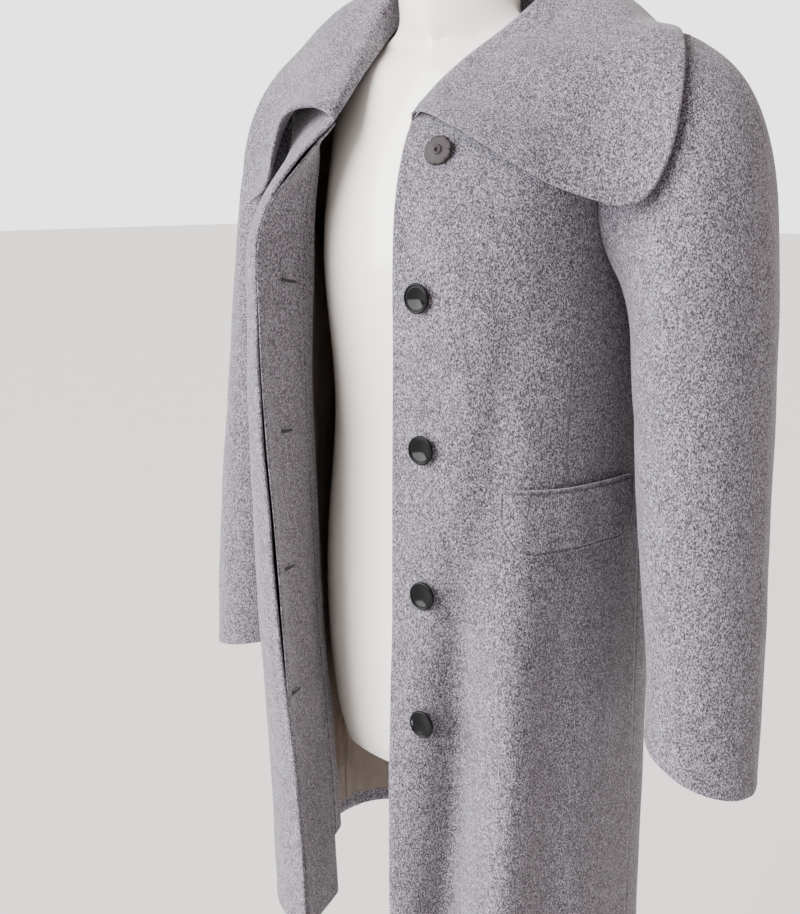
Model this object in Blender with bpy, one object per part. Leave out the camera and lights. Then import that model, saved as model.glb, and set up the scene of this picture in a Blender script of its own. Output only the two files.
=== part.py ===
"""Grey wool coat, worn open on a white limbless dress form with a pole stand.

The wearer faces -Y, the wearer's left is +X, and the origin is the middle of the stand's underside.
The coat's tables are in centimetres and turned to metres where they are read.
"""
import math

import bmesh
import bpy
import numpy as np
from mathutils import Matrix, Vector
from mathutils.bvhtree import BVHTree

CM = 0.01
SEAM_GAP = 0.0003
WOOL = 0.0030
COLLAR_CLOTH = 0.0034
FACING_CLOTH = 0.0020
LINING_CLOTH = 0.0010
LINING_CLEARANCE = 0.0010
LINING_DEEPER = 0.0030

# Rows of the coat's grid: hem to underarm, underarm to the break of the collar, break to shoulder
UNDERARM_LEVEL = 0.60
BREAK_LEVEL = 0.80
ROWS_BELOW_ARM = 11
ROWS_TO_BREAK = 4
ROWS_TO_SHOULDER = 6
FRONT_COLUMNS = 11
SHOULDER_COLUMNS = 6
NECK_COLUMNS = 10

# Shoulder seam and neck, centimetres
SHOULDER_POINT = (20.5, 0.5, 138.0)
NECK_POINT = (8.6, 0.5, 141.5)
BACK_NECK = (4.6, 140.6)

# level, edge x, edge y, edge z, side x, side y, side z, squareness of the turn between them
LEFT_FRONT = (
    (0.00, 4.1, -14.9, 59.0, 17.9, 1.6, 59.0, 3.0),
    (0.12, 4.0, -14.9, 72.0, 17.8, 1.6, 72.0, 3.0),
    (0.28, 3.9, -14.9, 88.0, 17.7, 1.5, 88.0, 3.1),
    (0.42, 3.9, -14.9, 101.0, 17.5, 1.3, 101.0, 3.1),
    (0.52, 3.9, -14.8, 110.0, 17.2, 1.1, 109.0, 3.1),
    (0.58, 3.9, -14.8, 116.0, 17.05, 1.0, 115.0, 3.0),
    (0.60, 3.9, -14.8, 118.0, 17.0, 1.0, 117.0, 3.0),
    (0.67, 3.9, -14.8, 124.0, 16.3, -3.0, 120.5, 2.7),
    (0.74, 3.5, -13.4, 129.0, 16.0, -4.6, 124.5, 2.4),
    (0.80, 3.1, -11.5, 131.9, 16.2, -4.9, 128.5, 2.1),
    (0.87, 4.9, -7.6, 135.8, 17.4, -4.9, 133.0, 1.8),
    (0.94, 7.2, -3.2, 139.0, 19.4, -3.4, 136.5, 1.4),
    (0.97, 8.0, -1.4, 140.3, 20.1, -1.8, 137.5, 1.2),
    (1.00, 8.6, 0.5, 141.5, 20.5, 0.5, 138.0, 1.0),
)
RIGHT_FRONT = (
    (0.00, -5.1, -16.9, 59.0, -17.9, 1.6, 59.0, 2.1),
    (0.12, -5.6, -17.1, 72.0, -17.8, 1.6, 72.0, 2.1),
    (0.28, -6.7, -18.1, 88.0, -17.7, 1.5, 88.0, 2.0),
    (0.42, -7.4, -18.4, 101.0, -17.5, 1.3, 101.0, 1.95),
    (0.52, -8.5, -18.1, 110.0, -17.2, 1.1, 109.0, 1.9),
    (0.58, -9.15, -17.45, 116.0, -17.05, 1.0, 115.0, 1.9),
    (0.60, -9.3, -17.3, 118.0, -17.0, 1.0, 117.0, 1.9),
    (0.67, -9.4, -16.9, 124.0, -16.3, -3.0, 120.5, 2.0),
    (0.74, -8.1, -13.6, 129.2, -16.0, -4.6, 124.5, 2.0),
    (0.80, -6.3, -11.0, 132.2, -16.2, -4.9, 128.5, 2.0),
    (0.87, -6.9, -7.2, 135.8, -17.4, -4.9, 133.0, 1.8),
    (0.94, -7.9, -3.0, 139.0, -19.4, -3.4, 136.5, 1.4),
    (0.97, -8.3, -1.3, 140.3, -20.1, -1.8, 137.5, 1.2),
    (1.00, -8.6, 0.5, 141.5, -20.5, 0.5, 138.0, 1.0),
)
# level, side x, side y, side z, centre y, centre z, squareness
BACK = (
    (0.00, 17.9, 1.6, 59.0, 11.2, 59.0, 2.4),
    (0.12, 17.8, 1.6, 72.0, 11.1, 72.0, 2.4),
    (0.28, 17.7, 1.5, 88.0, 10.9, 88.0, 2.4),
    (0.42, 17.5, 1.3, 101.0, 10.3, 101.0, 2.4),
    (0.52, 17.2, 1.1, 109.0, 9.9, 110.0, 2.4),
    (0.58, 17.05, 1.0, 115.0, 10.2, 116.0, 2.4),
    (0.60, 17.0, 1.0, 117.0, 10.3, 118.0, 2.4),
    (0.67, 16.6, 4.6, 120.5, 10.7, 124.0, 2.3),
    (0.74, 16.5, 5.6, 124.5, 10.7, 129.0, 2.2),
    (0.80, 16.7, 5.7, 128.5, 10.2, 132.5, 2.1),
    (0.87, 17.8, 5.4, 133.0, 9.0, 135.8, 2.0),
    (0.94, 19.5, 4.3, 136.5, 7.0, 138.6, 2.0),
    (0.97, 20.1, 2.7, 137.5, 5.9, 139.6, 2.0),
    (1.00, 20.5, 0.5, 138.0, 4.6, 140.6, 2.0),
)
# way down the sleeve, inner x, inner z, outer x, outer z, middle y, half depth
LEFT_SLEEVE = (
    (0.00, 17.0, 117.0, 20.5, 138.0, 0.5, 5.2),
    (0.07, 17.5, 115.8, 24.0, 136.3, 0.5, 6.3),
    (0.15, 17.9, 113.5, 26.3, 132.3, 0.4, 6.9),
    (0.26, 18.3, 109.6, 27.7, 126.0, 0.3, 7.1),
    (0.42, 19.1, 103.4, 28.9, 114.0, -0.4, 6.6),
    (0.60, 20.2, 96.6, 29.7, 102.0, -1.3, 5.9),
    (0.80, 21.3, 89.6, 30.4, 90.8, -1.9, 5.1),
    (1.00, 21.5, 83.0, 30.8, 79.8, -2.2, 4.6),
)
RIGHT_SLEEVE = (
    (0.00, 17.0, 117.0, 20.5, 138.0, 0.5, 5.2),
    (0.07, 17.5, 115.8, 24.0, 136.3, 0.5, 6.3),
    (0.15, 17.9, 113.5, 26.0, 132.3, 0.4, 6.9),
    (0.26, 18.2, 109.5, 27.0, 126.0, 0.3, 7.1),
    (0.42, 19.0, 103.0, 28.2, 114.0, -0.4, 6.6),
    (0.60, 20.1, 95.6, 29.4, 101.2, -1.3, 5.9),
    (0.80, 21.2, 87.8, 30.7, 89.4, -1.9, 5.1),
    (1.00, 22.0, 79.8, 31.4, 77.8, -2.2, 4.7),
)
SLEEVE_STEPS = (0.0, 0.05, 0.09, 0.13, 0.18, 0.23, 0.29, 0.37, 0.46, 0.55, 0.64, 0.73, 0.82, 0.91, 1.0)
SLEEVE_HEAD = 0.12

# way round the neck from break to centre back, roll height, roll width, bulge and droop of the fall,
# edge x, y, z
COLLAR = (
    (0.00, 0.5, 1.3, 0.0, 1.2, 20.6, -7.5, 125.2),
    (0.05, 0.6, 1.4, 0.2, 0.9, 22.3, -6.1, 126.3),
    (0.10, 0.8, 1.5, 0.5, 0.5, 22.8, -4.6, 129.2),
    (0.19, 0.9, 1.5, 0.9, 0.0, 21.8, -2.4, 134.4),
    (0.24, 1.3, 1.6, 1.0, 0.0, 20.6, -1.0, 136.6),
    (0.29, 1.8, 1.6, 1.0, 0.0, 18.6, 1.2, 138.2),
    (0.33, 2.2, 1.6, 1.0, 0.0, 16.8, 4.2, 137.7),
    (0.38, 2.6, 1.6, 0.9, 0.0, 14.6, 7.4, 136.2),
    (0.44, 3.6, 1.6, 0.8, 0.0, 8.6, 11.0, 132.7),
    (0.50, 4.0, 1.6, 0.8, 0.0, 0.0, 12.2, 130.9),
)
COLLAR_STEPS = (0.0, 0.07, 0.14, 0.21, 0.32, 0.46, 0.60, 0.74, 0.88, 1.0)
COLLAR_CLEARANCE = 0.0062
ROLL_OUT = 0.25
FALL_HEIGHT = 0.75
DROOP_FORWARD = 0.5
COLLAR_FREE_FROM = 3

# level, placket edge moved in x and y from the front edge, end of the facing x and y
FLY = (
    (0.00, 0.00, 0.45, -8.2, -8.5),
    (0.12, 0.00, 0.45, -9.1, -8.6),
    (0.20, 0.10, 0.50, -9.8, -8.7),
    (0.28, 0.45, 1.15, -10.6, -8.8),
    (0.42, 0.50, 1.20, -11.0, -9.0),
    (0.52, 0.50, 1.20, -11.1, -9.2),
    (0.60, 0.45, 1.10, -10.8, -9.2),
    (0.67, 0.40, 1.00, -10.5, -9.2),
    (0.74, 0.25, 0.80, -10.0, -8.8),
    (0.80, 0.05, 0.60, -9.5, -8.3),
    (1.00, 0.05, 0.60, -11.0, -1.0),
)
FACING_STRIP = 2.0
FACING_FLUSH_FROM = 0.74
FACING_FLUSH_TO = 0.85
FACING_AT_SHOULDER = 0.36
LINING_TURN_IN = 0.0015
LINING_ROWS = slice(1, -2)
FACING_SEAM = 0.0009
LINING_TURN = (-15.7, -5.6)

# Soft folds: panel, way across at the bottom and top, levels of bottom and top, width, depth in cm
FOLDS = (
    ("left", 0.17, 0.46, 0.00, 0.66, 0.055, -0.75),
    ("left", 0.31, 0.52, 0.00, 0.52, 0.070, 0.45),
    ("left", 0.66, 0.66, 0.00, 0.40, 0.060, -0.35),
    ("right", 0.55, 0.60, 0.00, 0.50, 0.080, -0.60),
    ("right", 0.82, 0.80, 0.00, 0.42, 0.060, -0.40),
    ("back", 0.22, 0.27, 0.00, 0.45, 0.050, -0.60),
    ("back", 0.40, 0.42, 0.00, 0.36, 0.050, 0.45),
    ("back", 0.60, 0.58, 0.00, 0.40, 0.050, -0.45),
    ("back", 0.79, 0.74, 0.00, 0.47, 0.050, -0.60),
)

# Pocket flap, centimetres
FLAP_FROM_EDGE = 10.0
FLAP_LENGTH = 13.3
FLAP_DEPTH = 5.4
FLAP_TOP = 104.0
FLAP_CORNER = 2.2
FLAP_LIFT = 0.0010
FLAP_KICK = 0.0020
FLAP_CLOTH = 0.0040
FLAP_COLUMNS = 12
FLAP_ROWS = 4

# Buttons: radius and height from the cloth side up, millimetres
BUTTON_PROFILE = (
    (0.0, 0.0), (2.6, 0.0), (2.6, 2.0), (9.6, 2.3), (11.9, 3.4), (11.9, 4.8),
    (11.1, 5.4), (10.1, 5.1), (9.2, 4.5), (0.0, 4.0),
)
BUTTON_SIDES = 18
# distance from the front edge and height, centimetres, the top one turned over
TURNED_BUTTON = (4.0, 130.4)
BUTTONS = (
    (2.8, 118.5),
    (3.3, 106.7),
    (3.5, 94.3),
    (3.4, 82.9),
)

# Dress form: height, half width, half depth, middle y, squareness
FORM = (
    (74.6, 12.6, 9.2, -0.6, 2.1),
    (76.5, 13.2, 9.6, -0.7, 2.1),
    (82.0, 14.0, 10.0, -0.8, 2.1),
    (88.0, 14.4, 10.1, -0.9, 2.1),
    (94.0, 14.4, 9.9, -0.9, 2.1),
    (100.0, 13.9, 9.5, -0.8, 2.1),
    (106.0, 13.4, 9.2, -0.6, 2.1),
    (112.0, 13.4, 9.6, -0.8, 2.1),
    (118.0, 13.8, 10.2, -1.1, 2.1),
    (123.0, 14.1, 10.2, -1.0, 2.1),
    (128.0, 14.4, 9.2, -0.4, 2.1),
    (131.5, 14.9, 8.2, -0.3, 1.9),
    (134.5, 15.4, 7.0, -0.4, 1.6),
    (136.6, 15.2, 6.0, -0.5, 1.3),
    (137.5, 13.6, 5.2, -0.8, 1.1),
    (138.4, 10.0, 4.4, -1.3, 1.0),
    (139.8, 6.3, 4.4, -1.8, 1.4),
    (141.6, 5.7, 4.8, -1.9, 1.8),
    (144.0, 5.4, 5.0, -2.0, 2.0),
    (147.0, 5.1, 5.0, -2.1, 2.0),
    (149.6, 5.0, 4.9, -2.2, 2.0),
)
FORM_SIDES = 26
FORM_BASE_LOW = 71.5
FORM_BASE_ARCH = 3.0
FORM_SOCKET_RADIUS = 0.035
FORM_BOTTOM_EDGE = (0.975, 0.005)
FORM_SOCKET_HEIGHT = 0.752
NECK_CAP_EDGE = (0.90, 0.004)
FORM_CLEARANCE = 0.0062
FORM_FITTED_ABOVE = 1.27
FORM_FITTED_BESIDE = 0.078
FORM_SEAT = 0.0004
FORM_RISE = 0.0080

# Stand, metres
POLE_RADIUS = 0.014
FLANGE_RADIUS = 0.030
FLANGE_HEIGHT = 0.008
BASE_RADIUS = 0.190
BASE_RIM = 0.010
BASE_EDGE = 0.006
BASE_EDGE_RISE = 0.002
BASE_DOME = 0.006
BASE_BOSS_RADIUS = 0.026
BASE_BOSS_FOOT = 0.034
BASE_BOSS_HEIGHT = 0.018
STAND_SIDES = 32

COLLECTION = "coat_on_dress_form"


def clear_scene():
    """Start from an empty scene."""
    for existing in list(bpy.data.objects):
        bpy.data.objects.remove(existing, do_unlink=True)


def collection():
    """The collection that holds the parts."""
    found = bpy.data.collections.get(COLLECTION) or bpy.data.collections.new(COLLECTION)
    if COLLECTION not in bpy.context.scene.collection.children:
        bpy.context.scene.collection.children.link(found)
    return found


def material(name, colour, roughness, metallic=0.0):
    """A Principled material of one colour."""
    made = bpy.data.materials.new(name)
    made.use_nodes = True
    shader = made.node_tree.nodes["Principled BSDF"]
    shader.inputs["Base Color"].default_value = (*colour, 1.0)
    shader.inputs["Roughness"].default_value = roughness
    shader.inputs["Metallic"].default_value = metallic
    made.diffuse_color = (*colour, 1.0)
    return made


def add_object(name, mesh_data, finish):
    """An object with this mesh and material, in the part's collection."""
    made = bpy.data.objects.new(name, mesh_data)
    made.data.materials.append(finish)
    collection().objects.link(made)
    return made


def through(rows, at):
    """A smooth curve through the rows of a table, whose first column is the position."""
    rows = np.array(rows, dtype=float)
    knots, values = rows[:, 0], rows[:, 1:]
    slopes = np.gradient(values, knots, axis=0)
    at = np.atleast_1d(at).astype(float)
    left = np.clip(np.searchsorted(knots, at, side="right") - 1, 0, len(knots) - 2)
    step = (knots[left + 1] - knots[left])[:, None]
    t = (at[:, None] - knots[left][:, None]) / step
    return (
        (2 * t**3 - 3 * t**2 + 1) * values[left] + (t**3 - 2 * t**2 + t) * step * slopes[left]
        + (3 * t**2 - 2 * t**3) * values[left + 1] + (t**3 - t**2) * step * slopes[left + 1]
    )


def ease(low, high, value):
    """0 below low, 1 above high, smooth between."""
    t = np.clip((value - low) / (high - low), 0.0, 1.0)
    return t * t * (3 - 2 * t)


def along_line(points, fractions):
    """Points at fractions of the length of a line of points."""
    lengths = np.concatenate([[0.0], np.cumsum(np.linalg.norm(np.diff(points, axis=0), axis=1))])
    wanted = np.asarray(fractions) * lengths[-1]
    return np.stack([np.interp(wanted, lengths, points[:, axis]) for axis in range(3)], axis=1)


def quarter(start, end, squareness, count=80):
    """A rounded quarter turn in plan from start to end, leaving start along X."""
    turn = np.linspace(0.0, math.pi / 2, count)
    out = np.sin(turn) ** (2 / squareness)
    back = np.cos(turn) ** (2 / squareness)
    line = np.stack([start[0] + (end[0] - start[0]) * out, end[1] + (start[1] - end[1]) * back,
                     np.zeros(count)], axis=1)
    steps = np.concatenate([[0.0], np.cumsum(np.linalg.norm(np.diff(line, axis=0), axis=1))])
    line[:, 2] = start[2] + (end[2] - start[2]) * steps / steps[-1]
    return line


def levels():
    """The rows of the coat's grid, from hem to shoulder seam."""
    lower = np.linspace(0.0, UNDERARM_LEVEL, ROWS_BELOW_ARM + 1)
    middle = np.linspace(UNDERARM_LEVEL, BREAK_LEVEL, ROWS_TO_BREAK + 1)[1:]
    upper = np.linspace(BREAK_LEVEL, 1.0, ROWS_TO_SHOULDER + 1)[1:]
    return np.concatenate([lower, middle, upper])


def front_row(table, level, fractions):
    """Points across a front at one level, from its free edge or neckline to its side."""
    values = through(table, level)[0]
    line = quarter(values[0:3], values[3:6], max(values[6], 1.0))
    return along_line(line, fractions)


def back_fractions():
    """Way across the back for each column, from the left side to the right side."""
    half = np.concatenate([np.linspace(0.0, 0.55, SHOULDER_COLUMNS + 1),
                           np.linspace(0.55, 1.0, NECK_COLUMNS // 2 + 1)[1:]]) / 2
    return np.concatenate([half, 1.0 - half[-2::-1]])


def back_top_row():
    """The back's last row: shoulder seam, neckline, shoulder seam."""
    shoulder = np.linspace(SHOULDER_POINT, NECK_POINT, SHOULDER_COLUMNS + 1)
    turn = np.linspace(0.0, math.pi / 2, NECK_COLUMNS // 2 + 1)[1:]
    neck = np.stack([
        NECK_POINT[0] * np.cos(turn),
        NECK_POINT[1] + (BACK_NECK[0] - NECK_POINT[1]) * np.sin(turn),
        NECK_POINT[2] + (BACK_NECK[1] - NECK_POINT[2]) * np.sin(turn) ** 2,
    ], axis=1)
    left = np.concatenate([shoulder, neck])
    return np.concatenate([left, left[-2::-1] * (-1, 1, 1)])


def back_row(level):
    """Points across the back at one level."""
    side_x, side_y, side_z, centre_y, centre_z, squareness = through(BACK, level)[0]
    half = quarter((0.0, centre_y, centre_z), (side_x, side_y, side_z), squareness)
    line = np.concatenate([half[::-1], half[1:] * (-1, 1, 1)])
    row = along_line(line, back_fractions())
    blend = ease(0.84, 1.0, level)
    return (1 - blend) * row + blend * back_top_row()


def fold_depth(panel, across, level):
    """How far the soft folds of a panel move its cloth out, centimetres."""
    depth = 0.0
    for name, low_across, high_across, low, high, width, height in FOLDS:
        if name != panel:
            continue
        rise = np.clip((level - low) / (high - low), 0.0, 1.0)
        middle = low_across + (high_across - low_across) * rise
        fade = 1.0 - ease(0.55, 1.0, rise)
        depth = depth + height * fade * np.exp(-((across - middle) / width) ** 2)
    return depth


def normals_of(grid, closed=False):
    """Outward normals of a grid whose rows run up and whose columns run round."""
    if closed:
        across = np.roll(grid, -1, axis=1) - np.roll(grid, 1, axis=1)
    else:
        across = np.gradient(grid, axis=1)
    up = np.gradient(grid, axis=0)
    normal = np.cross(across, up)
    return normal / np.linalg.norm(normal, axis=2, keepdims=True)


def folded(grid, panel, across):
    """A panel's grid with its folds, in metres."""
    grid = grid * CM
    normal = normals_of(grid)
    lift = np.array([[fold_depth(panel, u, level) for u in across] for level in levels()]) * CM
    return grid + normal * lift[:, :, None]


def body_grids():
    """Left front, back and right front, each with its columns running round to the wearer's right."""
    across = np.linspace(0.0, 1.0, FRONT_COLUMNS + 1)
    left = np.array([front_row(LEFT_FRONT, level, across) for level in levels()])
    right = np.array([front_row(RIGHT_FRONT, level, across) for level in levels()])
    back = np.array([back_row(level) for level in levels()])
    left = folded(left, "left", across)
    right = folded(right[:, ::-1], "right", across[::-1])
    back = folded(back, "back", back_fractions())
    return left, back, right


def share(first, second):
    """One normal for two edges that meet."""
    total = first + second
    total /= np.linalg.norm(total, axis=-1, keepdims=True)
    return total


def pull_in(grid, rows=(False, False), columns=(False, False), amount=SEAM_GAP / 2):
    """Draw the chosen edges of a grid back from their seams."""
    moved = grid.copy()
    for use, edge, inner in ((rows[0], 0, 1), (rows[1], -1, -2)):
        if use:
            step = grid[inner] - grid[edge]
            moved[edge] += amount * step / np.linalg.norm(step, axis=-1, keepdims=True)
    for use, edge, inner in ((columns[0], 0, 1), (columns[1], -1, -2)):
        if use:
            step = grid[:, inner] - grid[:, edge]
            moved[:, edge] += amount * step / np.linalg.norm(step, axis=-1, keepdims=True)
    return moved


def wall(name, outer, inner, finish, closed=False):
    """A closed cloth wall between two grids of the same size."""
    shaped = bmesh.new()
    rows, columns = outer.shape[:2]
    front = [[shaped.verts.new(point) for point in row] for row in outer]
    behind = [[shaped.verts.new(point) for point in row] for row in inner]
    steps = range(columns if closed else columns - 1)
    for row in range(rows - 1):
        for step in steps:
            after = (step + 1) % columns
            shaped.faces.new((front[row][step], front[row][after],
                              front[row + 1][after], front[row + 1][step]))
            shaped.faces.new((behind[row][step], behind[row + 1][step],
                              behind[row + 1][after], behind[row][after]))
    for step in steps:
        after = (step + 1) % columns
        shaped.faces.new((front[0][step], behind[0][step], behind[0][after], front[0][after]))
        shaped.faces.new((front[-1][step], front[-1][after], behind[-1][after], behind[-1][step]))
    if not closed:
        for row in range(rows - 1):
            shaped.faces.new((front[row][0], front[row + 1][0], behind[row + 1][0], behind[row][0]))
            shaped.faces.new((front[row][-1], behind[row][-1], behind[row + 1][-1], front[row + 1][-1]))
    return finish_mesh(name, shaped, finish)


def finish_mesh(name, shaped, finish):
    """Triangles, outward faces and smooth shading for a closed shape."""
    bmesh.ops.triangulate(shaped, faces=shaped.faces[:], quad_method="FIXED")
    bmesh.ops.recalc_face_normals(shaped, faces=shaped.faces[:])
    if shaped.calc_volume(signed=True) < 0:
        bmesh.ops.reverse_faces(shaped, faces=shaped.faces[:])
    mesh_data = bpy.data.meshes.new(name)
    shaped.to_mesh(mesh_data)
    shaped.free()
    mesh_data.shade_smooth()
    mesh_data.set_sharp_from_angle(angle=math.radians(50))
    return add_object(name, mesh_data, finish)


def tree_of(grids):
    """A search tree of the outer faces of some grids, and of nothing else."""
    points, faces = [], []
    for grid in grids:
        rows, columns = grid.shape[:2]
        first = len(points)
        points += [Vector(point) for point in grid.reshape(-1, 3)]
        for row in range(rows - 1):
            for step in range(columns - 1):
                corner = first + row * columns + step
                faces.append((corner, corner + 1, corner + columns + 1, corner + columns))
    return BVHTree.FromPolygons(points, faces)


def lift_clear(point, tree, clearance):
    """A point moved out until it is clear of the surface under it."""
    here = Vector(point)
    for _ in range(3):
        nearest, normal, _, _ = tree.find_nearest(here)
        height = (here - nearest).dot(normal)
        if height >= clearance:
            break
        here = here + normal * (clearance - height)
    return np.array(here)


def armhole(front_edge, back_edge):
    """The armhole as a ring from the underarm up the front, over the shoulder and down the back."""
    return np.concatenate([front_edge, back_edge[-2:0:-1]])


def ring_turns(ring, top):
    """The turn of each point of an armhole ring, in half turns up the front and down the back."""
    closed = np.concatenate([ring, ring[:1]])
    lengths = np.concatenate([[0.0], np.cumsum(np.linalg.norm(np.diff(closed, axis=0), axis=1))])
    front = lengths[:top + 1] / lengths[top] * math.pi
    back = math.pi + (lengths[top + 1:-1] - lengths[top]) / (lengths[-1] - lengths[top]) * math.pi
    return np.concatenate([front, back])


def sleeve_grid(ring, top, side):
    """Rings of a sleeve from the armhole down to the cuff; side is 1 for left and -1 for right."""
    turns = ring_turns(ring, top)
    table = LEFT_SLEEVE if side > 0 else RIGHT_SLEEVE
    rows = []
    for way in SLEEVE_STEPS:
        inner_x, inner_z, outer_x, outer_z, middle_y, depth = through(table, way)[0] * CM
        swing = 0.5 - 0.5 * np.cos(turns)
        ellipse = np.stack([
            side * (inner_x + (outer_x - inner_x) * swing),
            middle_y - depth * np.sin(turns),
            inner_z + (outer_z - inner_z) * swing,
        ], axis=1)
        blend = ease(0.0, SLEEVE_HEAD, way)
        rows.append((1 - blend) * ring + blend * ellipse)
    return np.array(rows)


def collar_grid(seam, tree):
    """The collar's underside, from the neck seam over the roll and down to its outer edge."""
    lengths = np.concatenate([[0.0], np.cumsum(np.linalg.norm(np.diff(seam, axis=0), axis=1))])
    ways = lengths / lengths[-1]
    columns = []
    for point, way in zip(seam, ways):
        side = 1.0 if way <= 0.5 else -1.0
        values = through(COLLAR, min(way, 1.0 - way))[0] * CM
        height, width, bulge, droop, edge_x, edge_y, edge_z = values
        edge = np.array((side * edge_x, edge_y, edge_z))
        out = edge - point
        out[2] = 0.0
        out /= np.linalg.norm(out)
        up = np.array((0.0, 0.0, 1.0))
        roll = point + up * height + out * width * ROLL_OUT
        fall = point + up * height * FALL_HEIGHT + out * width
        middle = 0.5 * (fall + edge) + up * (bulge - droop) - np.array((0.0, droop * DROOP_FORWARD, 0.0))
        knots = np.array(((0.0, *point), (0.10, *roll), (0.21, *fall), (0.60, *middle), (1.0, *edge)))
        line = through(knots, COLLAR_STEPS)
        columns.append(line)
    grid = np.array(columns).transpose(1, 0, 2)
    for row in range(COLLAR_FREE_FROM, grid.shape[0]):
        for step in range(grid.shape[1]):
            grid[row, step] = lift_clear(grid[row, step], tree, COLLAR_CLEARANCE)
    return grid


def flap_grid(table, panel, side):
    """The flap's underside, from points of the front that lies under it."""
    centre = FLAP_FROM_EDGE + FLAP_LENGTH / 2
    rows = []
    for down in np.linspace(0.0, 1.0, FLAP_ROWS + 1):
        row = []
        for along in np.linspace(-1.0, 1.0, FLAP_COLUMNS + 1):
            reach = FLAP_LENGTH / 2 - abs(along) * FLAP_LENGTH / 2
            corner = max(0.0, FLAP_CORNER - reach)
            drop = FLAP_CORNER - math.sqrt(max(FLAP_CORNER**2 - corner**2, 0.0))
            height = FLAP_TOP - down * (FLAP_DEPTH - drop * down)
            distance = centre + along * FLAP_LENGTH / 2
            point, normal = on_front(table, panel, distance, height)
            row.append(point + normal * (FLAP_LIFT + FLAP_KICK * down))
        rows.append(row)
    grid = np.array(rows)[::-1]
    return grid if side > 0 else grid[:, ::-1]


def on_front(table, panel, distance, height):
    """A point of a front and its normal, by the distance from its edge and the height, both in cm."""
    rows = np.array(table)
    level = np.interp(height, rows[:, 3], rows[:, 0])
    step = 0.004

    def at(way, row_level):
        return front_row(table, row_level, [way])[0] * CM

    values = through(table, level)[0]
    length = np.linalg.norm(np.diff(quarter(values[0:3], values[3:6], values[6]), axis=0), axis=1).sum()
    way = distance / length
    point = at(way, level)
    across = at(way + step, level) - at(way - step, level)
    up = at(way, level + step) - at(way, level - step)
    normal = np.cross(across, up) if table is LEFT_FRONT else np.cross(up, across)
    normal /= np.linalg.norm(normal)
    return point + normal * fold_depth(panel, way, level) * CM, normal


def turned(name, profile, sides, place, finish):
    """A solid turned from a profile of radius and height, both in metres."""
    shaped = bmesh.new()
    verts = [shaped.verts.new((radius, 0.0, height)) for radius, height in profile]
    edges = [shaped.edges.new(pair) for pair in zip(verts, verts[1:])]
    bmesh.ops.spin(shaped, geom=verts + edges, axis=(0, 0, 1), cent=(0, 0, 0), steps=sides,
                   angle=2 * math.pi, use_merge=True)
    bmesh.ops.remove_doubles(shaped, verts=shaped.verts[:], dist=1e-6)
    bmesh.ops.transform(shaped, matrix=place, verts=shaped.verts[:])
    return finish_mesh(name, shaped, finish)


def placed_on(point, normal):
    """A matrix that stands +Z on a point along a normal."""
    turn = Vector(normal).to_track_quat("Z", "Y").to_matrix().to_4x4()
    return Matrix.Translation(Vector(point)) @ turn


def make_buttons(tree, finish):
    """Four buttons on the left front, and the top one turned over on its thread."""
    profile = [(radius / 1000, height / 1000) for radius, height in BUTTON_PROFILE]
    top = max(height for _, height in profile)
    back_up = [(radius, top - height) for radius, height in profile]
    spots = [(*TURNED_BUTTON, back_up)] + [(*spot, profile) for spot in BUTTONS]
    for number, (distance, height, shape) in enumerate(spots, start=1):
        point, normal = on_front(LEFT_FRONT, "left", distance, height)
        nearest = np.array(tree.find_nearest(Vector(point))[0])
        turned(f"button_{number}", shape, BUTTON_SIDES,
               placed_on(nearest + normal * SEAM_GAP, normal), finish)


def form_ring(height, width, depth, middle, squareness):
    """One level ring of the dress form."""
    turns = np.linspace(0.0, 2 * math.pi, FORM_SIDES, endpoint=False)
    cos, sin = np.cos(turns), np.sin(turns)
    power = 2 / squareness
    return np.stack([width * np.sign(cos) * np.abs(cos) ** power,
                     middle + depth * np.sign(sin) * np.abs(sin) ** power,
                     np.full(FORM_SIDES, height)], axis=1) * CM


def fit_inside(point, tree, clearance):
    """A point moved in until the coat over it is a clearance away."""
    here = Vector(point)
    for _ in range(3):
        nearest, normal, _, _ = tree.find_nearest(here)
        depth = (nearest - here).dot(normal)
        if depth >= clearance:
            break
        here = here - normal * (clearance - depth)
    return np.array(here)


def seat_under(shaped, cloth):
    """Raise the form's shoulders until the coat lies on them."""
    upper = [vert for vert in shaped.verts if vert.co.z > FORM_FITTED_ABOVE]
    cloth_trees = [BVHTree.FromPolygons([vert.co for vert in piece.data.vertices],
                                        [face.vertices for face in piece.data.polygons]) for piece in cloth]
    step, lift = FORM_RISE / 2, 0.0
    while step > FORM_SEAT / 8:
        for vert in upper:
            vert.co.z += step
        raised = BVHTree.FromBMesh(shaped)
        if any(raised.overlap(tree) for tree in cloth_trees):
            for vert in upper:
                vert.co.z -= step
        else:
            lift += step
        step /= 2
    for vert in upper:
        vert.co.z -= min(FORM_SEAT, lift)


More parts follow.
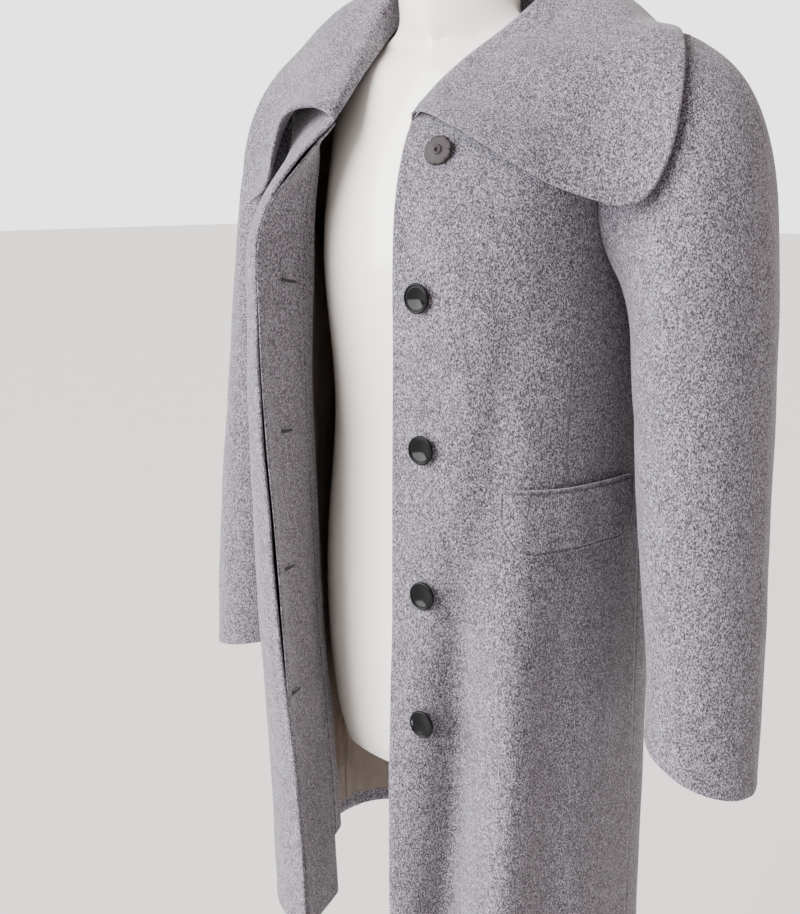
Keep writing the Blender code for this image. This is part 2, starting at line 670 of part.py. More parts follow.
def make_form(coat_tree, cloth, finish):
    """The limbless torso: rings from an arched base to a level neck, fitted under the coat's shoulders."""
    rings = [form_ring(*row) for row in FORM]
    for ring in rings:
        for step, point in enumerate(ring):
            if point[2] > FORM_FITTED_ABOVE and abs(point[0]) > FORM_FITTED_BESIDE:
                ring[step] = fit_inside(point, coat_tree, FORM_CLEARANCE)
    low = rings[0].copy()
    front_or_back = np.abs(np.sin(np.linspace(0.0, 2 * math.pi, FORM_SIDES, endpoint=False)))
    low[:, 2] = (FORM_BASE_LOW + FORM_BASE_ARCH * front_or_back) * CM
    low[:, :2] *= FORM_BOTTOM_EDGE[0]
    rings[0][:, 2] += FORM_BOTTOM_EDGE[1] * front_or_back
    rings.insert(0, low)
    neck = rings[-1].copy()
    neck[:, 2] += NECK_CAP_EDGE[1]
    neck[:, :2] = neck[:, :2].mean(axis=0) + (neck[:, :2] - neck[:, :2].mean(axis=0)) * NECK_CAP_EDGE[0]
    rings.append(neck)
    rings = np.array(rings)
    shaped = bmesh.new()
    verts = [[shaped.verts.new(point) for point in ring] for ring in rings]
    for lower, upper in zip(verts, verts[1:]):
        for step in range(FORM_SIDES):
            after = (step + 1) % FORM_SIDES
            shaped.faces.new((lower[step], lower[after], upper[after], upper[step]))
    shaped.faces.new(verts[-1])
    socket = [shaped.verts.new((FORM_SOCKET_RADIUS * math.cos(turn), FORM_SOCKET_RADIUS * math.sin(turn),
                                FORM_SOCKET_HEIGHT))
              for turn in np.linspace(0.0, 2 * math.pi, FORM_SIDES, endpoint=False)]
    for step in range(FORM_SIDES):
        after = (step + 1) % FORM_SIDES
        shaped.faces.new((verts[0][after], verts[0][step], socket[step], socket[after]))
    shaped.faces.new(socket[::-1])
    seat_under(shaped, cloth)
    return finish_mesh("form_torso", shaped, finish)


def make_stand(finish):
    """The pole under the form and the round base that it stands on."""
    foot = BASE_RIM + BASE_DOME + BASE_BOSS_HEIGHT
    bottom = foot + SEAM_GAP
    top = FORM_SOCKET_HEIGHT - SEAM_GAP
    pole = [(0.0, bottom), (POLE_RADIUS, bottom), (POLE_RADIUS, top - FLANGE_HEIGHT),
            (FLANGE_RADIUS, top - FLANGE_HEIGHT), (FLANGE_RADIUS, top), (0.0, top)]
    turned("form_pole", pole, STAND_SIDES, Matrix.Identity(4), finish)
    base = [(0.0, 0.0), (BASE_RADIUS, 0.0), (BASE_RADIUS, BASE_RIM),
            (BASE_RADIUS - BASE_EDGE, BASE_RIM + BASE_EDGE_RISE), (BASE_BOSS_FOOT, BASE_RIM + BASE_DOME),
            (BASE_BOSS_RADIUS, foot), (0.0, foot)]
    turned("form_base", base, STAND_SIDES, Matrix.Identity(4), finish)


def inner_rows(shell, shell_normal):
    """Placket, facing and lining rows inside the right front, at each level of the coat's grid."""
    edge_of = shell[:, -1] if shell[0, -1, 1] < shell[0, 0, 1] else shell[:, 0]
    placket, facing, lining = [], [], []
    for row, level in enumerate(levels()):
        move_x, move_y, end_x, end_y = through(FLY, level)[0] * CM
        start = edge_of[row] + np.array((move_x, move_y, 0.0))
        end = np.array((end_x, end_y, start[2]))
        flush = ease(FACING_FLUSH_FROM, FACING_FLUSH_TO, level)
        under = shell[row] - shell_normal[row] * (WOOL + SEAM_GAP * 2)
        under_edge = under[::-1]
        reach = along_line(under_edge, np.linspace(0.0, FACING_AT_SHOULDER, 6))
        open_line = np.linspace(start, end, 6)
        line = (1 - flush) * open_line + flush * reach
        length = np.linalg.norm(np.diff(line, axis=0), axis=1).sum()
        split = 1.0 - FACING_STRIP * CM / length
        placket.append(along_line(line, np.linspace(0.0, split, 4)))
        facing.append(along_line(line, np.linspace(split, 1.0, 3)))
        deeper = (shell[row] - shell_normal[row] * (WOOL + LINING_DEEPER))[::-1]
        side = shell[row, 0] - shell_normal[row, 0] * (WOOL + LINING_CLEARANCE)
        turn = np.array((LINING_TURN[0] * CM, LINING_TURN[1] * CM, side[2]))
        t = np.linspace(0.0, 1.0, 24)[:, None]
        open_curve = (1 - t) ** 2 * line[-1] + 2 * t * (1 - t) * turn + t**2 * side
        beyond = along_line(deeper, np.linspace(FACING_AT_SHOULDER, 1.0, 24))
        curve = (1 - flush) * open_curve + flush * beyond
        lining.append(along_line(curve, np.linspace(0.0, 1.0, 9)))
    return np.array(placket), np.array(facing), np.array(lining)


def build():
    """Every piece of the coat, the form and its stand."""
    clear_scene()
    wool = material("grey melton wool", (0.27, 0.255, 0.265), 0.95)
    wool_inside = material("grey wool facing", (0.24, 0.23, 0.235), 0.95)
    satin = material("taupe satin lining", (0.075, 0.058, 0.050), 0.35)
    gloss_black = material("black button resin", (0.012, 0.012, 0.013), 0.12)
    gloss_white = material("white gloss form", (0.86, 0.85, 0.83), 0.18)
    steel = material("brushed steel stand", (0.55, 0.55, 0.56), 0.35, 1.0)

    left, back, right = body_grids()
    left_normal, back_normal, right_normal = (normals_of(grid) for grid in (left, back, right))
    under = ROWS_BELOW_ARM
    left_side = share(left_normal[:under + 1, -1], back_normal[:under + 1, 0])
    left_normal[:under + 1, -1] = left_side
    back_normal[:under + 1, 0] = left_side
    right_side = share(right_normal[:under + 1, 0], back_normal[:under + 1, -1])
    right_normal[:under + 1, 0] = right_side
    back_normal[:under + 1, -1] = right_side

    seam_up = np.array((SHOULDER_POINT[0] - NECK_POINT[0], 0.0, SHOULDER_POINT[2] - NECK_POINT[2]))
    seam_normal = np.array((-seam_up[2], 0.0, seam_up[0])) / np.linalg.norm(seam_up)
    left_normal[-1] = seam_normal
    back_normal[-1, :SHOULDER_COLUMNS + 1] = seam_normal
    right_normal[-1] = seam_normal * (-1, 1, 1)
    back_normal[-1, -SHOULDER_COLUMNS - 1:] = seam_normal * (-1, 1, 1)

    rings, ring_normals = {}, {}
    for name, side, front_edge, back_edge, front_n, back_n in (
            ("left", 1, left[under:, -1], back[under:, 0], left_normal[under:, -1], back_normal[under:, 0]),
            ("right", -1, right[under:, 0], back[under:, -1], right_normal[under:, 0],
             back_normal[under:, -1])):
        ring = armhole(front_edge, back_edge)
        top = len(front_edge) - 1
        grid = sleeve_grid(ring, top, side)
        normal = normals_of(grid, closed=True) * -side
        seam = share(normal[0], armhole(front_n, back_n))
        seam[top] = front_n[-1]
        normal[0] = seam
        front_n[:] = seam[:top + 1]
        back_n[1:-1] = seam[top + 1:][::-1]
        back_n[0], back_n[-1] = seam[0], seam[top]
        rings[name], ring_normals[name] = grid, normal

    break_row = ROWS_BELOW_ARM + ROWS_TO_BREAK
    neck = slice(SHOULDER_COLUMNS, SHOULDER_COLUMNS + NECK_COLUMNS + 1)
    seam_line = np.concatenate([left[break_row:, 0], back[-1, neck][1:-1], right[break_row:, -1][::-1]])
    ring_of = [np.concatenate([grid, grid[:, :1]], axis=1) for grid in rings.values()]
    ring_of = [ring_of[0][:, ::-1], ring_of[1]]
    tree = tree_of([left, back, right] + ring_of)
    collar = collar_grid(seam_line, tree)
    collar_normal = normals_of(collar)
    panel_normal = np.concatenate([left_normal[break_row:, 0], back_normal[-1, neck][1:-1],
                                   right_normal[break_row:, -1][::-1]])
    seam = share(collar_normal[0], panel_normal)
    size = ROWS_TO_SHOULDER + 1
    seam[size - 1], seam[-size] = seam_normal, seam_normal * (-1, 1, 1)
    collar_normal[0] = seam
    left_normal[break_row:, 0] = seam[:size]
    right_normal[break_row:, -1] = seam[-size:][::-1]
    back_normal[-1, neck][1:-1] = seam[size:-size]
    back_normal[-1, neck][0], back_normal[-1, neck][-1] = seam[size - 1], seam[-size]

    for name, grid, normal, columns in (
            ("front_left", left, left_normal, (True, True)),
            ("back", back, back_normal, (True, True)),
            ("front_right", right, right_normal, (True, True))):
        inner = grid - normal * WOOL
        wall(name, pull_in(grid, (False, True), columns), pull_in(inner, (False, True), columns), wool)
    for name, grid in rings.items():
        inner = grid - ring_normals[name] * WOOL
        wall(f"sleeve_{name}", pull_in(grid, (True, False), amount=SEAM_GAP),
             pull_in(inner, (True, False), amount=SEAM_GAP), wool, True)
    inner = collar - collar_normal * COLLAR_CLOTH
    wall("collar", pull_in(collar, (True, False), amount=SEAM_GAP),
         pull_in(inner, (True, False), amount=SEAM_GAP), wool)

    for name, table, side in (("left", LEFT_FRONT, 1), ("right", RIGHT_FRONT, -1)):
        grid = flap_grid(table, name, side)
        normal = normals_of(grid)
        wall(f"pocket_flap_{name}", grid + normal * FLAP_CLOTH, grid, wool)

    placket, facing, lining = inner_rows(right, right_normal)
    placket = placket[:break_row + 1]
    placket_normal, facing_normal, lining_normal = (normals_of(g) for g in (placket, facing, lining))
    lining_normal[:, -1] = -right_normal[:, 0]
    wall("placket_right", pull_in(placket, columns=(False, True)),
         pull_in(placket + placket_normal * FACING_CLOTH, columns=(False, True)), wool_inside)
    for name, grid, normal, cloth, finish in (
            ("facing_right", facing, facing_normal, FACING_CLOTH, wool_inside),
            ("lining_right", lining, lining_normal, LINING_CLOTH, satin)):
        rows = LINING_ROWS if finish is satin else slice(1, None)
        grid = pull_in(grid[rows], (False, True), amount=LINING_TURN_IN)
        inner = pull_in(grid + normal[rows] * cloth, columns=(True, True), amount=FACING_SEAM)
        wall(name, pull_in(grid, columns=(True, True), amount=FACING_SEAM), inner, finish)
    behind = back[LINING_ROWS] - back_normal[LINING_ROWS] * (WOOL + LINING_CLEARANCE)
    before = behind - back_normal[LINING_ROWS] * LINING_CLOTH
    wall("lining_back", pull_in(behind, columns=(True, True)), pull_in(before, columns=(True, True)), satin)

    cloth = list(collection().objects)
    make_form(tree_of([left, back, right]), cloth, gloss_white)
    make_buttons(tree_of([left]), gloss_black)
    make_stand(steel)


build()
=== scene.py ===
"""The looks of a grey melton coat, worn open on a white dress form.

The frame gives each piece its place. The wearer faces -Y and the wearer's left is +X.
Tables are in centimetres and degrees. An angle goes round the body from the front (0) past
the wearer's left side (90), the back (180) and the right side (270).
"""
import math

import bmesh
import bpy
import numpy as np
from bpy.props import FloatProperty, FloatVectorProperty, IntProperty, PointerProperty
from mathutils import Matrix, Vector
from mathutils.bvhtree import BVHTree
from mathutils.kdtree import KDTree


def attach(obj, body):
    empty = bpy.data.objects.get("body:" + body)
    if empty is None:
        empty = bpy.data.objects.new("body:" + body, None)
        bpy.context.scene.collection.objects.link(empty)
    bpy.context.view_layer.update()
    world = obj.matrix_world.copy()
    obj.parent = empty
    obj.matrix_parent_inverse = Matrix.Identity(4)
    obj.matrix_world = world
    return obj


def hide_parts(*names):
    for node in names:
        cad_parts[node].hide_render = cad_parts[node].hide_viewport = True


bl_info = {
    "name": "Wool coat on a dress form",
    "version": (1, 0, 0),
    "blender": (4, 5, 0),
    "location": "3D View > Sidebar > Coat",
    "description": "Builds the cloth, buttons, form and studio of a grey wool coat",
    "category": "Object",
}

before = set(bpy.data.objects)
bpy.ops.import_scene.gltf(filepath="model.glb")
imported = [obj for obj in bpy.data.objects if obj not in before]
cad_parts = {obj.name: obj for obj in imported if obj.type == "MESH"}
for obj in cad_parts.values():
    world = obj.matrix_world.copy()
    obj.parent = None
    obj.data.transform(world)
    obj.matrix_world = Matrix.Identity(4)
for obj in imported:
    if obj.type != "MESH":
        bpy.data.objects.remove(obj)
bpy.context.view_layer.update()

CM = 0.01
MM = 0.001
WELD = 1e-5
RIM_ANGLE = math.radians(50)
CORNER_REACH = 2.0
CORNER_HOLD = 0.9
FLAP_STITCH = 2.6 * MM
# inside, the wool turns in below this height at the hem and at the cuffs, and beside the fronts' edges
HEM_BAND = 0.606
CUFF_BAND = 0.83
FRONT_BAND = 0.115
INWARD = -0.3
RIM_STEP = 2.0 * MM
RIM_SWELL = (2.0 * MM, 10.0 * MM)
SEAM_NEAR = 0.8 * MM
SEAM_FADE = (0.5 * MM, 13.0 * MM)
BODY_WOOL = ("front_left", "front_right", "back")
CLOTH = (*BODY_WOOL, "sleeve_left", "sleeve_right", "collar", "pocket_flap_left", "pocket_flap_right",
         "placket_right", "facing_right", "lining_right", "lining_back")

# A seam is kept on the cloth as its distance in centimetres plus this, so that cloth with no seam reads far
# from one
SEAM_ZERO = 10.0

# along its length a crease fades in and out over these shares, wanders to the side (centimetres, waves in
# radians) and swells (share, waves)
CREASE_START = (-0.12, 0.25)
CREASE_END = (0.70, 1.12)
CREASE_WANDER = (0.25, 7.0)
CREASE_SWELL = (0.2, 5.0)
UNEVENNESS = 0.3 * MM
SLEEVE_CORE = (0.005, 0.02)
COLLAR_LEAN = 0.12
COLLAR_RIGHT_SHARE = 0.8

# angle and height where it starts and ends, sideways bow, width, depth out; centimetres and degrees
BODY_CREASES = (
    (30.0, 50.0, 39.0, 99.0, 0.5, 2.5, -3.0),
    (40.0, 92.0, 48.5, 122.0, 0.5, 1.6, -0.36),
    (48.0, 50.0, 50.0, 99.0, -0.5, 2.8, 1.40),
    (14.0, 50.0, 15.0, 90.0, 0.2, 2.4, 0.95),
    (60.0, 52.0, 63.0, 98.0, -0.4, 2.2, -0.50),
    (70.0, 56.0, 68.0, 92.0, 0.5, 1.8, 0.22),
    (33.0, 112.0, 22.0, 124.0, 0.4, 1.6, 0.14),
    (47.0, 105.0, 40.0, 114.0, 0.3, 0.9, -0.12),
    (16.0, 130.0, 24.0, 117.0, -0.5, 1.0, -0.16),
    (60.0, 125.0, 54.0, 108.0, 0.4, 1.6, -0.14),
    (30.0, 126.0, 44.0, 121.5, 0.3, 1.2, -0.08),
    (80.0, 60.0, 78.0, 96.0, 0.3, 1.8, 0.14),
    (330.0, 60.0, 325.0, 104.0, 0.5, 1.6, -0.16),
    (312.0, 60.0, 313.0, 92.0, -0.5, 1.8, 0.16),
    (298.0, 62.0, 300.0, 112.0, 0.4, 1.5, -0.14),
    (284.0, 60.0, 281.0, 98.0, 0.3, 1.7, 0.12),
    (322.0, 128.0, 308.0, 112.0, 0.5, 1.4, -0.14),
    (112.0, 60.0, 118.0, 104.0, 0.8, 1.7, -0.18),
    (132.0, 60.0, 137.0, 118.0, 0.6, 1.6, -0.16),
    (150.0, 60.0, 147.0, 102.0, -0.6, 1.9, 0.20),
    (166.0, 60.0, 170.0, 95.0, 0.5, 1.6, -0.18),
    (193.0, 60.0, 189.0, 99.0, -0.7, 1.7, -0.16),
    (209.0, 60.0, 213.0, 106.0, 0.6, 1.8, 0.20),
    (226.0, 60.0, 221.0, 118.0, -0.5, 1.5, -0.16),
    (246.0, 60.0, 241.0, 100.0, 0.4, 1.8, -0.16),
    (138.0, 107.0, 171.0, 104.5, 0.6, 1.0, -0.10),
    (222.0, 108.0, 190.0, 105.5, -0.5, 1.0, -0.10),
    (140.0, 124.0, 160.0, 116.0, 0.5, 1.4, -0.12),
    (221.0, 125.0, 202.0, 117.0, -0.5, 1.4, -0.12),
)
# the same on a sleeve, round its own axis from the front, past the outside, the back and the inside
SLEEVE_CREASES = (
    (330.0, 107.0, 40.0, 104.0, 0.6, 0.9, -0.22),
    (310.0, 102.5, 15.0, 100.5, -0.4, 0.8, -0.18),
    (345.0, 111.5, 30.0, 112.5, 0.4, 0.9, -0.14),
    (20.0, 98.0, 350.0, 88.0, 0.5, 1.0, -0.10),
    (150.0, 128.0, 200.0, 119.0, 0.6, 1.2, -0.16),
    (20.0, 129.0, 345.0, 119.0, -0.5, 1.1, -0.18),
    (60.0, 120.0, 80.0, 104.0, 0.6, 1.6, -0.10),
    (120.0, 102.0, 190.0, 106.0, 0.5, 1.2, -0.12),
    (200.0, 98.0, 225.0, 84.0, 0.4, 1.2, -0.10),
    (100.0, 96.0, 130.0, 84.0, -0.5, 1.4, 0.08),
)
# sleeve axis: height, x and y
SLEEVE_AXIS = ((78.0, 26.4, -2.2), (90.0, 25.9, -1.9), (99.0, 25.0, -1.3), (109.0, 24.0, -0.4),
               (118.0, 23.0, 0.3), (127.0, 21.5, 0.4), (138.0, 19.5, 0.5))
# on the collar: x, y, z of both ends, width, depth up
COLLAR_CREASES = (
    (6.5, -10.5, 134.0, 13.5, -7.5, 131.5, 1.0, -0.26),
    (10.0, -6.5, 136.5, 18.0, -5.5, 131.5, 1.7, 0.34),
    (11.0, -3.0, 139.5, 17.5, -3.5, 135.0, 1.3, -0.30),
    (16.0, -8.5, 127.5, 20.0, -5.5, 131.0, 1.4, 0.14),
    (9.5, 5.0, 141.0, 14.0, 6.5, 137.5, 1.2, -0.14),
    (4.0, 9.0, 139.5, 5.0, 11.5, 134.0, 1.4, 0.14),
)
# where the collar stands off the coat, most at the wearer's right: x, y, z, radius, move in x, y and z
COLLAR_ROLL = (
    (-9.8, -11.2, 131.4, 3.0, -0.7, -0.5, 1.2),
    (-12.5, -9.0, 130.5, 3.0, -0.4, -0.3, 0.5),
    (-14.5, -1.0, 138.5, 6.0, 0.3, 0.0, 2.3),
    (-9.5, 1.0, 140.5, 4.5, 0.0, 0.0, 1.2),
    (-12.5, -4.5, 136.5, 4.0, 0.0, 0.0, 1.1),
    (6.3, -11.6, 131.9, 2.5, 0.1, -0.5, 0.0),
    (10.0, -11.9, 130.2, 3.2, 0.2, -0.6, 0.2),
    (14.0, -10.6, 127.9, 3.2, 0.3, -0.4, 0.1),
)
# on the flap: angle and height of both ends, bow, width, depth
FLAP_CREASES = (
    (53.0, 104.0, 56.0, 98.5, 0.0, 0.5, -0.10),
    (72.0, 103.5, 74.0, 98.0, 0.2, 0.7, -0.13),
    (62.0, 103.0, 65.0, 98.0, -0.2, 1.0, 0.10),
)
# seams: heights and angles
DART_SEAM = ((103.0, 64.6), (106.2, 63.4), (111.5, 64.1), (116.0, 65.4), (121.0, 69.5))
SEAM_REACH = 4.0
BACK_SEAM = ((59.0, 180.0), (141.0, 180.0))
HIND_SEAM = ((78.0, 205.0), (100.0, 212.0), (118.0, 196.0), (134.0, 178.0))

# parts of a buttonhole, slit and two lips: shift to the side, half width, half height (mm), share of its length
# the slit is filled with the dark thread: buttonhole thread, and also painted shade where the cut opens
BUTTONHOLE_PARTS = ((0.0, 1.5, 1.0, 0.56), (2.1, 0.9, 0.9, 0.6), (-2.1, 0.9, 0.9, 0.6))
BUTTONHOLE_LIFT = 0.1 * MM
# buttonholes on the hidden fly: x, y, z of both ends
BUTTONHOLES = (
    (-9.2, -14.2, 119.0, -9.9, -11.6, 118.6),
    (-8.1, -15.3, 106.0, -9.1, -12.9, 105.7),
    (-6.6, -16.4, 94.0, -7.6, -14.3, 93.7),
    (-6.1, -16.7, 82.5, -7.1, -14.6, 82.2),
)

# how far the fly's edge goes forward and to the right, by height; it fades out behind its buttonholes
FLY_MOVE = ((59.0, -0.20, -0.12), (66.0, -0.20, -0.12), (78.0, -0.15, -0.25), (90.0, -0.30, -0.75),
            (118.0, -0.35, -0.95), (126.0, -0.35, -0.95), (131.0, -0.10, -0.20))
FLY_FADE = (-0.165, -0.115)

# radius and height above the cloth, millimetres
BUTTON_FACE = (
    (0.0, 0.0), (2.6, 0.0), (2.6, 1.9), (3.6, 2.2), (9.2, 2.3), (10.6, 2.6), (11.6, 3.3), (11.95, 4.1),
    (11.8, 4.8), (11.3, 5.25), (10.8, 5.4), (10.3, 5.25), (10.0, 4.95), (9.8, 4.6), (9.3, 4.55),
    (8.9, 4.7), (8.5, 4.6), (6.0, 3.9), (3.0, 3.3), (0.9, 3.0), (0.0, 3.0),
)
BUTTON_BACK = (
    (0.0, 0.3), (9.6, 0.3), (10.8, 0.1), (11.6, 0.5), (11.9, 1.2), (11.6, 2.0), (11.0, 2.5), (10.2, 2.7),
    (8.0, 2.8), (4.4, 2.7), (3.8, 2.9), (3.5, 3.6), (3.1, 3.9), (2.5, 4.0), (1.9, 3.9), (1.6, 3.5),
    (1.5, 2.4), (0.0, 2.4),
)
BUTTON_STEPS = 96
# the top button hangs turned over: its move, where its back faces, and the notches round its rim
TURNED_MOVE = (-0.0035, -0.0025, 0.0)
TURNED_FACE = (0.2, -0.93, 0.32)
NOTCHES = 8
NOTCH_FROM = 10.5
NOTCH_DEPTH = 0.93
NOTCH_STEPS = 1.1

# wool: how much single fibres and clumps add to the flecks, the ramp's stops, and how a seam is drawn (cm)
FIBRE_SHARE = 0.35
CLUMP_SHARE = 0.15
WOOL_STOPS = (0.50, 0.74, 0.98)
SEAM_GROOVE = 0.16
SEAM_LINE = (0.02, 0.07)
SEAM_SHADE = 0.45
# darkest and lightest share of a colour that a noise shades, and where on the noise they lie
SHADE_STOPS = (0.3, 0.7)
# on the satin the noise is that of its puckers, so its darker and lighter shares are painted shade and painted
# sheen
SATIN_PUCKER_SHADE_AND_SHEEN = (0.72, 1.25)
RESIN_SHADES = (0.7, 1.25)

CAMERA_PLACE = (0.665, -0.851, 1.27)
CAMERA_AIM = (-0.644, 0.733, -0.2235)
CAMERA_LENS = 46.9
FLOOR_SIZE = 60.0
# name, direction it comes from, softness in degrees, share of the window light
LIGHTS = (("window", (-1.0, -1.9, 0.7), 60.0, 1.0), ("skylight", (0.2, 0.4, 3.0), 90.0, 0.08))


def linear(hex_colour):
    """An sRGB hex colour as linear red, green and blue."""
    parts = [int(hex_colour[start:start + 2], 16) / 255 for start in (1, 3, 5)]
    return tuple(part / 12.92 if part <= 0.04045 else ((part + 0.055) / 1.055) ** 2.4
                 for part in parts)


def colour(name, description, hex_colour):
    """A colour that the user may change."""
    return FloatVectorProperty(name=name, description=description, subtype="COLOR", size=3, min=0.0, max=1.0,
                               default=linear(hex_colour))


class CoatLooks(bpy.types.PropertyGroup):
    """Colours and finishes of the coat's cloth and buttons."""
    wool_dark: colour("Wool, dark fibres", "Darkest fibres of the mottled wool", "#201e22")
    wool_middle: colour("Wool, middle", "Ground colour of the wool", "#524e57")
    wool_light: colour("Wool, light fibres", "Palest fibres of the mottled wool", "#98949f")
    satin: colour("Lining", "Taupe satin of the lining", "#62544b")
    resin: colour("Buttons", "Black polyester of the buttons", "#0b0b0d")
    resin_back: colour("Button back", "Dull back of a button", "#2f292b")
    thread: colour("Buttonhole thread", "Dark thread of the buttonholes", "#1d1a1b")
    edge_rounding: FloatProperty(name="Edge rounding", description="How far the turned edges round off",
                                 default=1.1 * MM, min=0.2 * MM, max=1.4 * MM, unit="LENGTH")
    crease_strength: FloatProperty(name="Creases", description="Strength of the soft creases", default=1.0,
                                   min=0.0, max=1.5, subtype="FACTOR")
    fineness: IntProperty(name="Fineness", description="Times that the cloth is divided", default=3, min=1, max=3)


class FormLooks(bpy.types.PropertyGroup):
    """Colours of the dress form and its stand."""
    lacquer: colour("Form", "White lacquer of the torso form", "#f1ede7")
    steel: colour("Stand", "Brushed steel of the pole and base", "#b9b9bb")


class StudioLooks(bpy.types.PropertyGroup):
    """Floor and light."""
    floor: colour("Floor", "Plain pale floor", "#f4f3f2")
    sky: colour("Room light", "Colour of the light all round", "#ffe6d2")
    room_strength: FloatProperty(name="Room light", description="Strength of the light all round",
                                 default=0.42, min=0.0, max=3.0)
    wall_strength: FloatProperty(name="Wall", description="Brightness of the white wall that is seen",
                                 default=3.2, min=0.0, max=9.0)
    window_strength: FloatProperty(name="Window light", description="Strength of the soft light from the left",
                                   default=13.0, min=0.0, max=30.0)


def add_node(material, kind, settings=(), links=()):
    """Add a shader node, give it its settings and link its inputs."""
    node = material.node_tree.nodes.new(kind)
    for key, value in dict(settings).items():
        if isinstance(key, int) or key in node.inputs:
            node.inputs[key].default_value = value
        else:
            setattr(node, key, value)
    for key, source in dict(links).items():
        material.node_tree.links.new(source, node.inputs[key])
    return node


def new_material(name):
    """A material with nothing but its output, and the object coordinates to pattern it by."""
    material = bpy.data.materials.new(name)
    material.use_nodes = True
    material.node_tree.nodes.clear()
    output = add_node(material, "ShaderNodeOutputMaterial")
    place = add_node(material, "ShaderNodeTexCoord").outputs["Object"]
    return material, output, place


def colour_steps(material, source, steps):
    """A ramp of colours over a 0 to 1 value."""
    ramp = add_node(material, "ShaderNodeValToRGB", links={"Fac": source})
    for position, _ in steps[2:]:
        ramp.color_ramp.elements.new(position)
    for element, (position, shade) in zip(ramp.color_ramp.elements, sorted(steps)):
        element.position = position
        element.color = (*shade, 1.0)
    return ramp.outputs["Color"]


def shaded(material, noise, tint, shades):
    """A colour that a noise makes darker and lighter."""
    return colour_steps(material, noise.outputs["Fac"], [
        (stop, tuple(part * shade for part in tint)) for stop, shade in zip(SHADE_STOPS, shades)])


def finish(material, output, settings, links):
    """The surface shader, linked to the output."""
    shader = add_node(material, "ShaderNodeBsdfPrincipled", settings, links)
    material.node_tree.links.new(shader.outputs["BSDF"], output.inputs["Surface"])
    material.diffuse_color = (*dict(settings).get("Base Color", (0.3, 0.3, 0.3, 1.0))[:3], 1.0)
    return material


def melton_wool(name, looks, shade=1.0):
    """Milled and brushed melton: a mottle of dark and pale fibres under a short nap that runs down the cloth.

    The fibres clump in flecks of about 1 mm, drawn at that size. The nap gives soft light at grazing angles.
    """
    material, output, place = new_material(name)
    nap = add_node(material, "ShaderNodeMapping", {"Scale": (1.0, 1.0, 0.6)},
                   {"Vector": place}).outputs["Vector"]
    cells = add_node(material, "ShaderNodeTexVoronoi", {"Scale": 1350.0}, {"Vector": nap})
    fibres = add_node(material, "ShaderNodeSeparateColor", links={"Color": cells.outputs["Color"]})
    flecks = add_node(material, "ShaderNodeTexNoise", {"Scale": 1050.0, "Detail": 2.0, "Roughness": 0.7},
                      {"Vector": nap})
    clumps = add_node(material, "ShaderNodeTexNoise", {"Scale": 130.0, "Detail": 3.0, "Roughness": 0.6},
                      {"Vector": nap})
    grain = add_node(material, "ShaderNodeMath", {"operation": "MULTIPLY_ADD", 1: FIBRE_SHARE},
                     {0: fibres.outputs["Red"], 2: flecks.outputs["Fac"]})
    mixed = add_node(material, "ShaderNodeMath", {"operation": "MULTIPLY_ADD", 1: CLUMP_SHARE},
                     {0: clumps.outputs["Fac"], 2: grain.outputs["Value"]})
    wools = (looks.wool_dark, looks.wool_middle, looks.wool_light)
    # a shade below 1 darkens every tone of the wool: painted shade, used for the fly's placket and facing strip
    tones = [(stop, tuple(part * shade for part in wool)) for stop, wool in zip(WOOL_STOPS, wools)]
    ground = colour_steps(material, mixed.outputs["Value"], tones)
    seam = add_node(material, "ShaderNodeAttribute", {"attribute_name": "seam"})
    offset = add_node(material, "ShaderNodeMath", {"operation": "SUBTRACT", 1: SEAM_ZERO},
                      {0: seam.outputs["Fac"]})
    distance = add_node(material, "ShaderNodeMath", {"operation": "ABSOLUTE"}, {0: offset.outputs["Value"]})
    groove = add_node(material, "ShaderNodeMapRange",
                      {"interpolation_type": "SMOOTHSTEP", "From Min": 0.0, "From Max": SEAM_GROOVE},
                      {"Value": distance.outputs["Value"]})
    line = add_node(material, "ShaderNodeMapRange",
                    {"From Min": SEAM_LINE[0], "From Max": SEAM_LINE[1], "To Min": SEAM_SHADE},
                    {"Value": distance.outputs["Value"]})
    darkened = add_node(material, "ShaderNodeMix", {"data_type": "RGBA", "blend_type": "MULTIPLY", 0: 1.0},
                        {6: ground, 7: line.outputs["Result"]})
    nubs = add_node(material, "ShaderNodeBump", {"Strength": 0.3, "Distance": 0.5 * MM},
                    {"Height": flecks.outputs["Fac"]})
    felt = add_node(material, "ShaderNodeBump", {"Strength": 0.5, "Distance": 1.2 * MM},
                    {"Height": clumps.outputs["Fac"], "Normal": nubs.outputs["Normal"]})
    sewn = add_node(material, "ShaderNodeBump", {"Strength": 0.9, "Distance": 1.4 * MM},
                    {"Height": groove.outputs["Result"], "Normal": felt.outputs["Normal"]})
    return finish(material, output,
                  {"Roughness": 0.93, "Specular IOR Level": 0.2, "Sheen Weight": 0.3, "Sheen Roughness": 0.5,
                   "Sheen Tint": (0.84, 0.82, 0.85, 1.0)},
                  {"Base Color": darkened.outputs[2], "Normal": sewn.outputs["Normal"]})


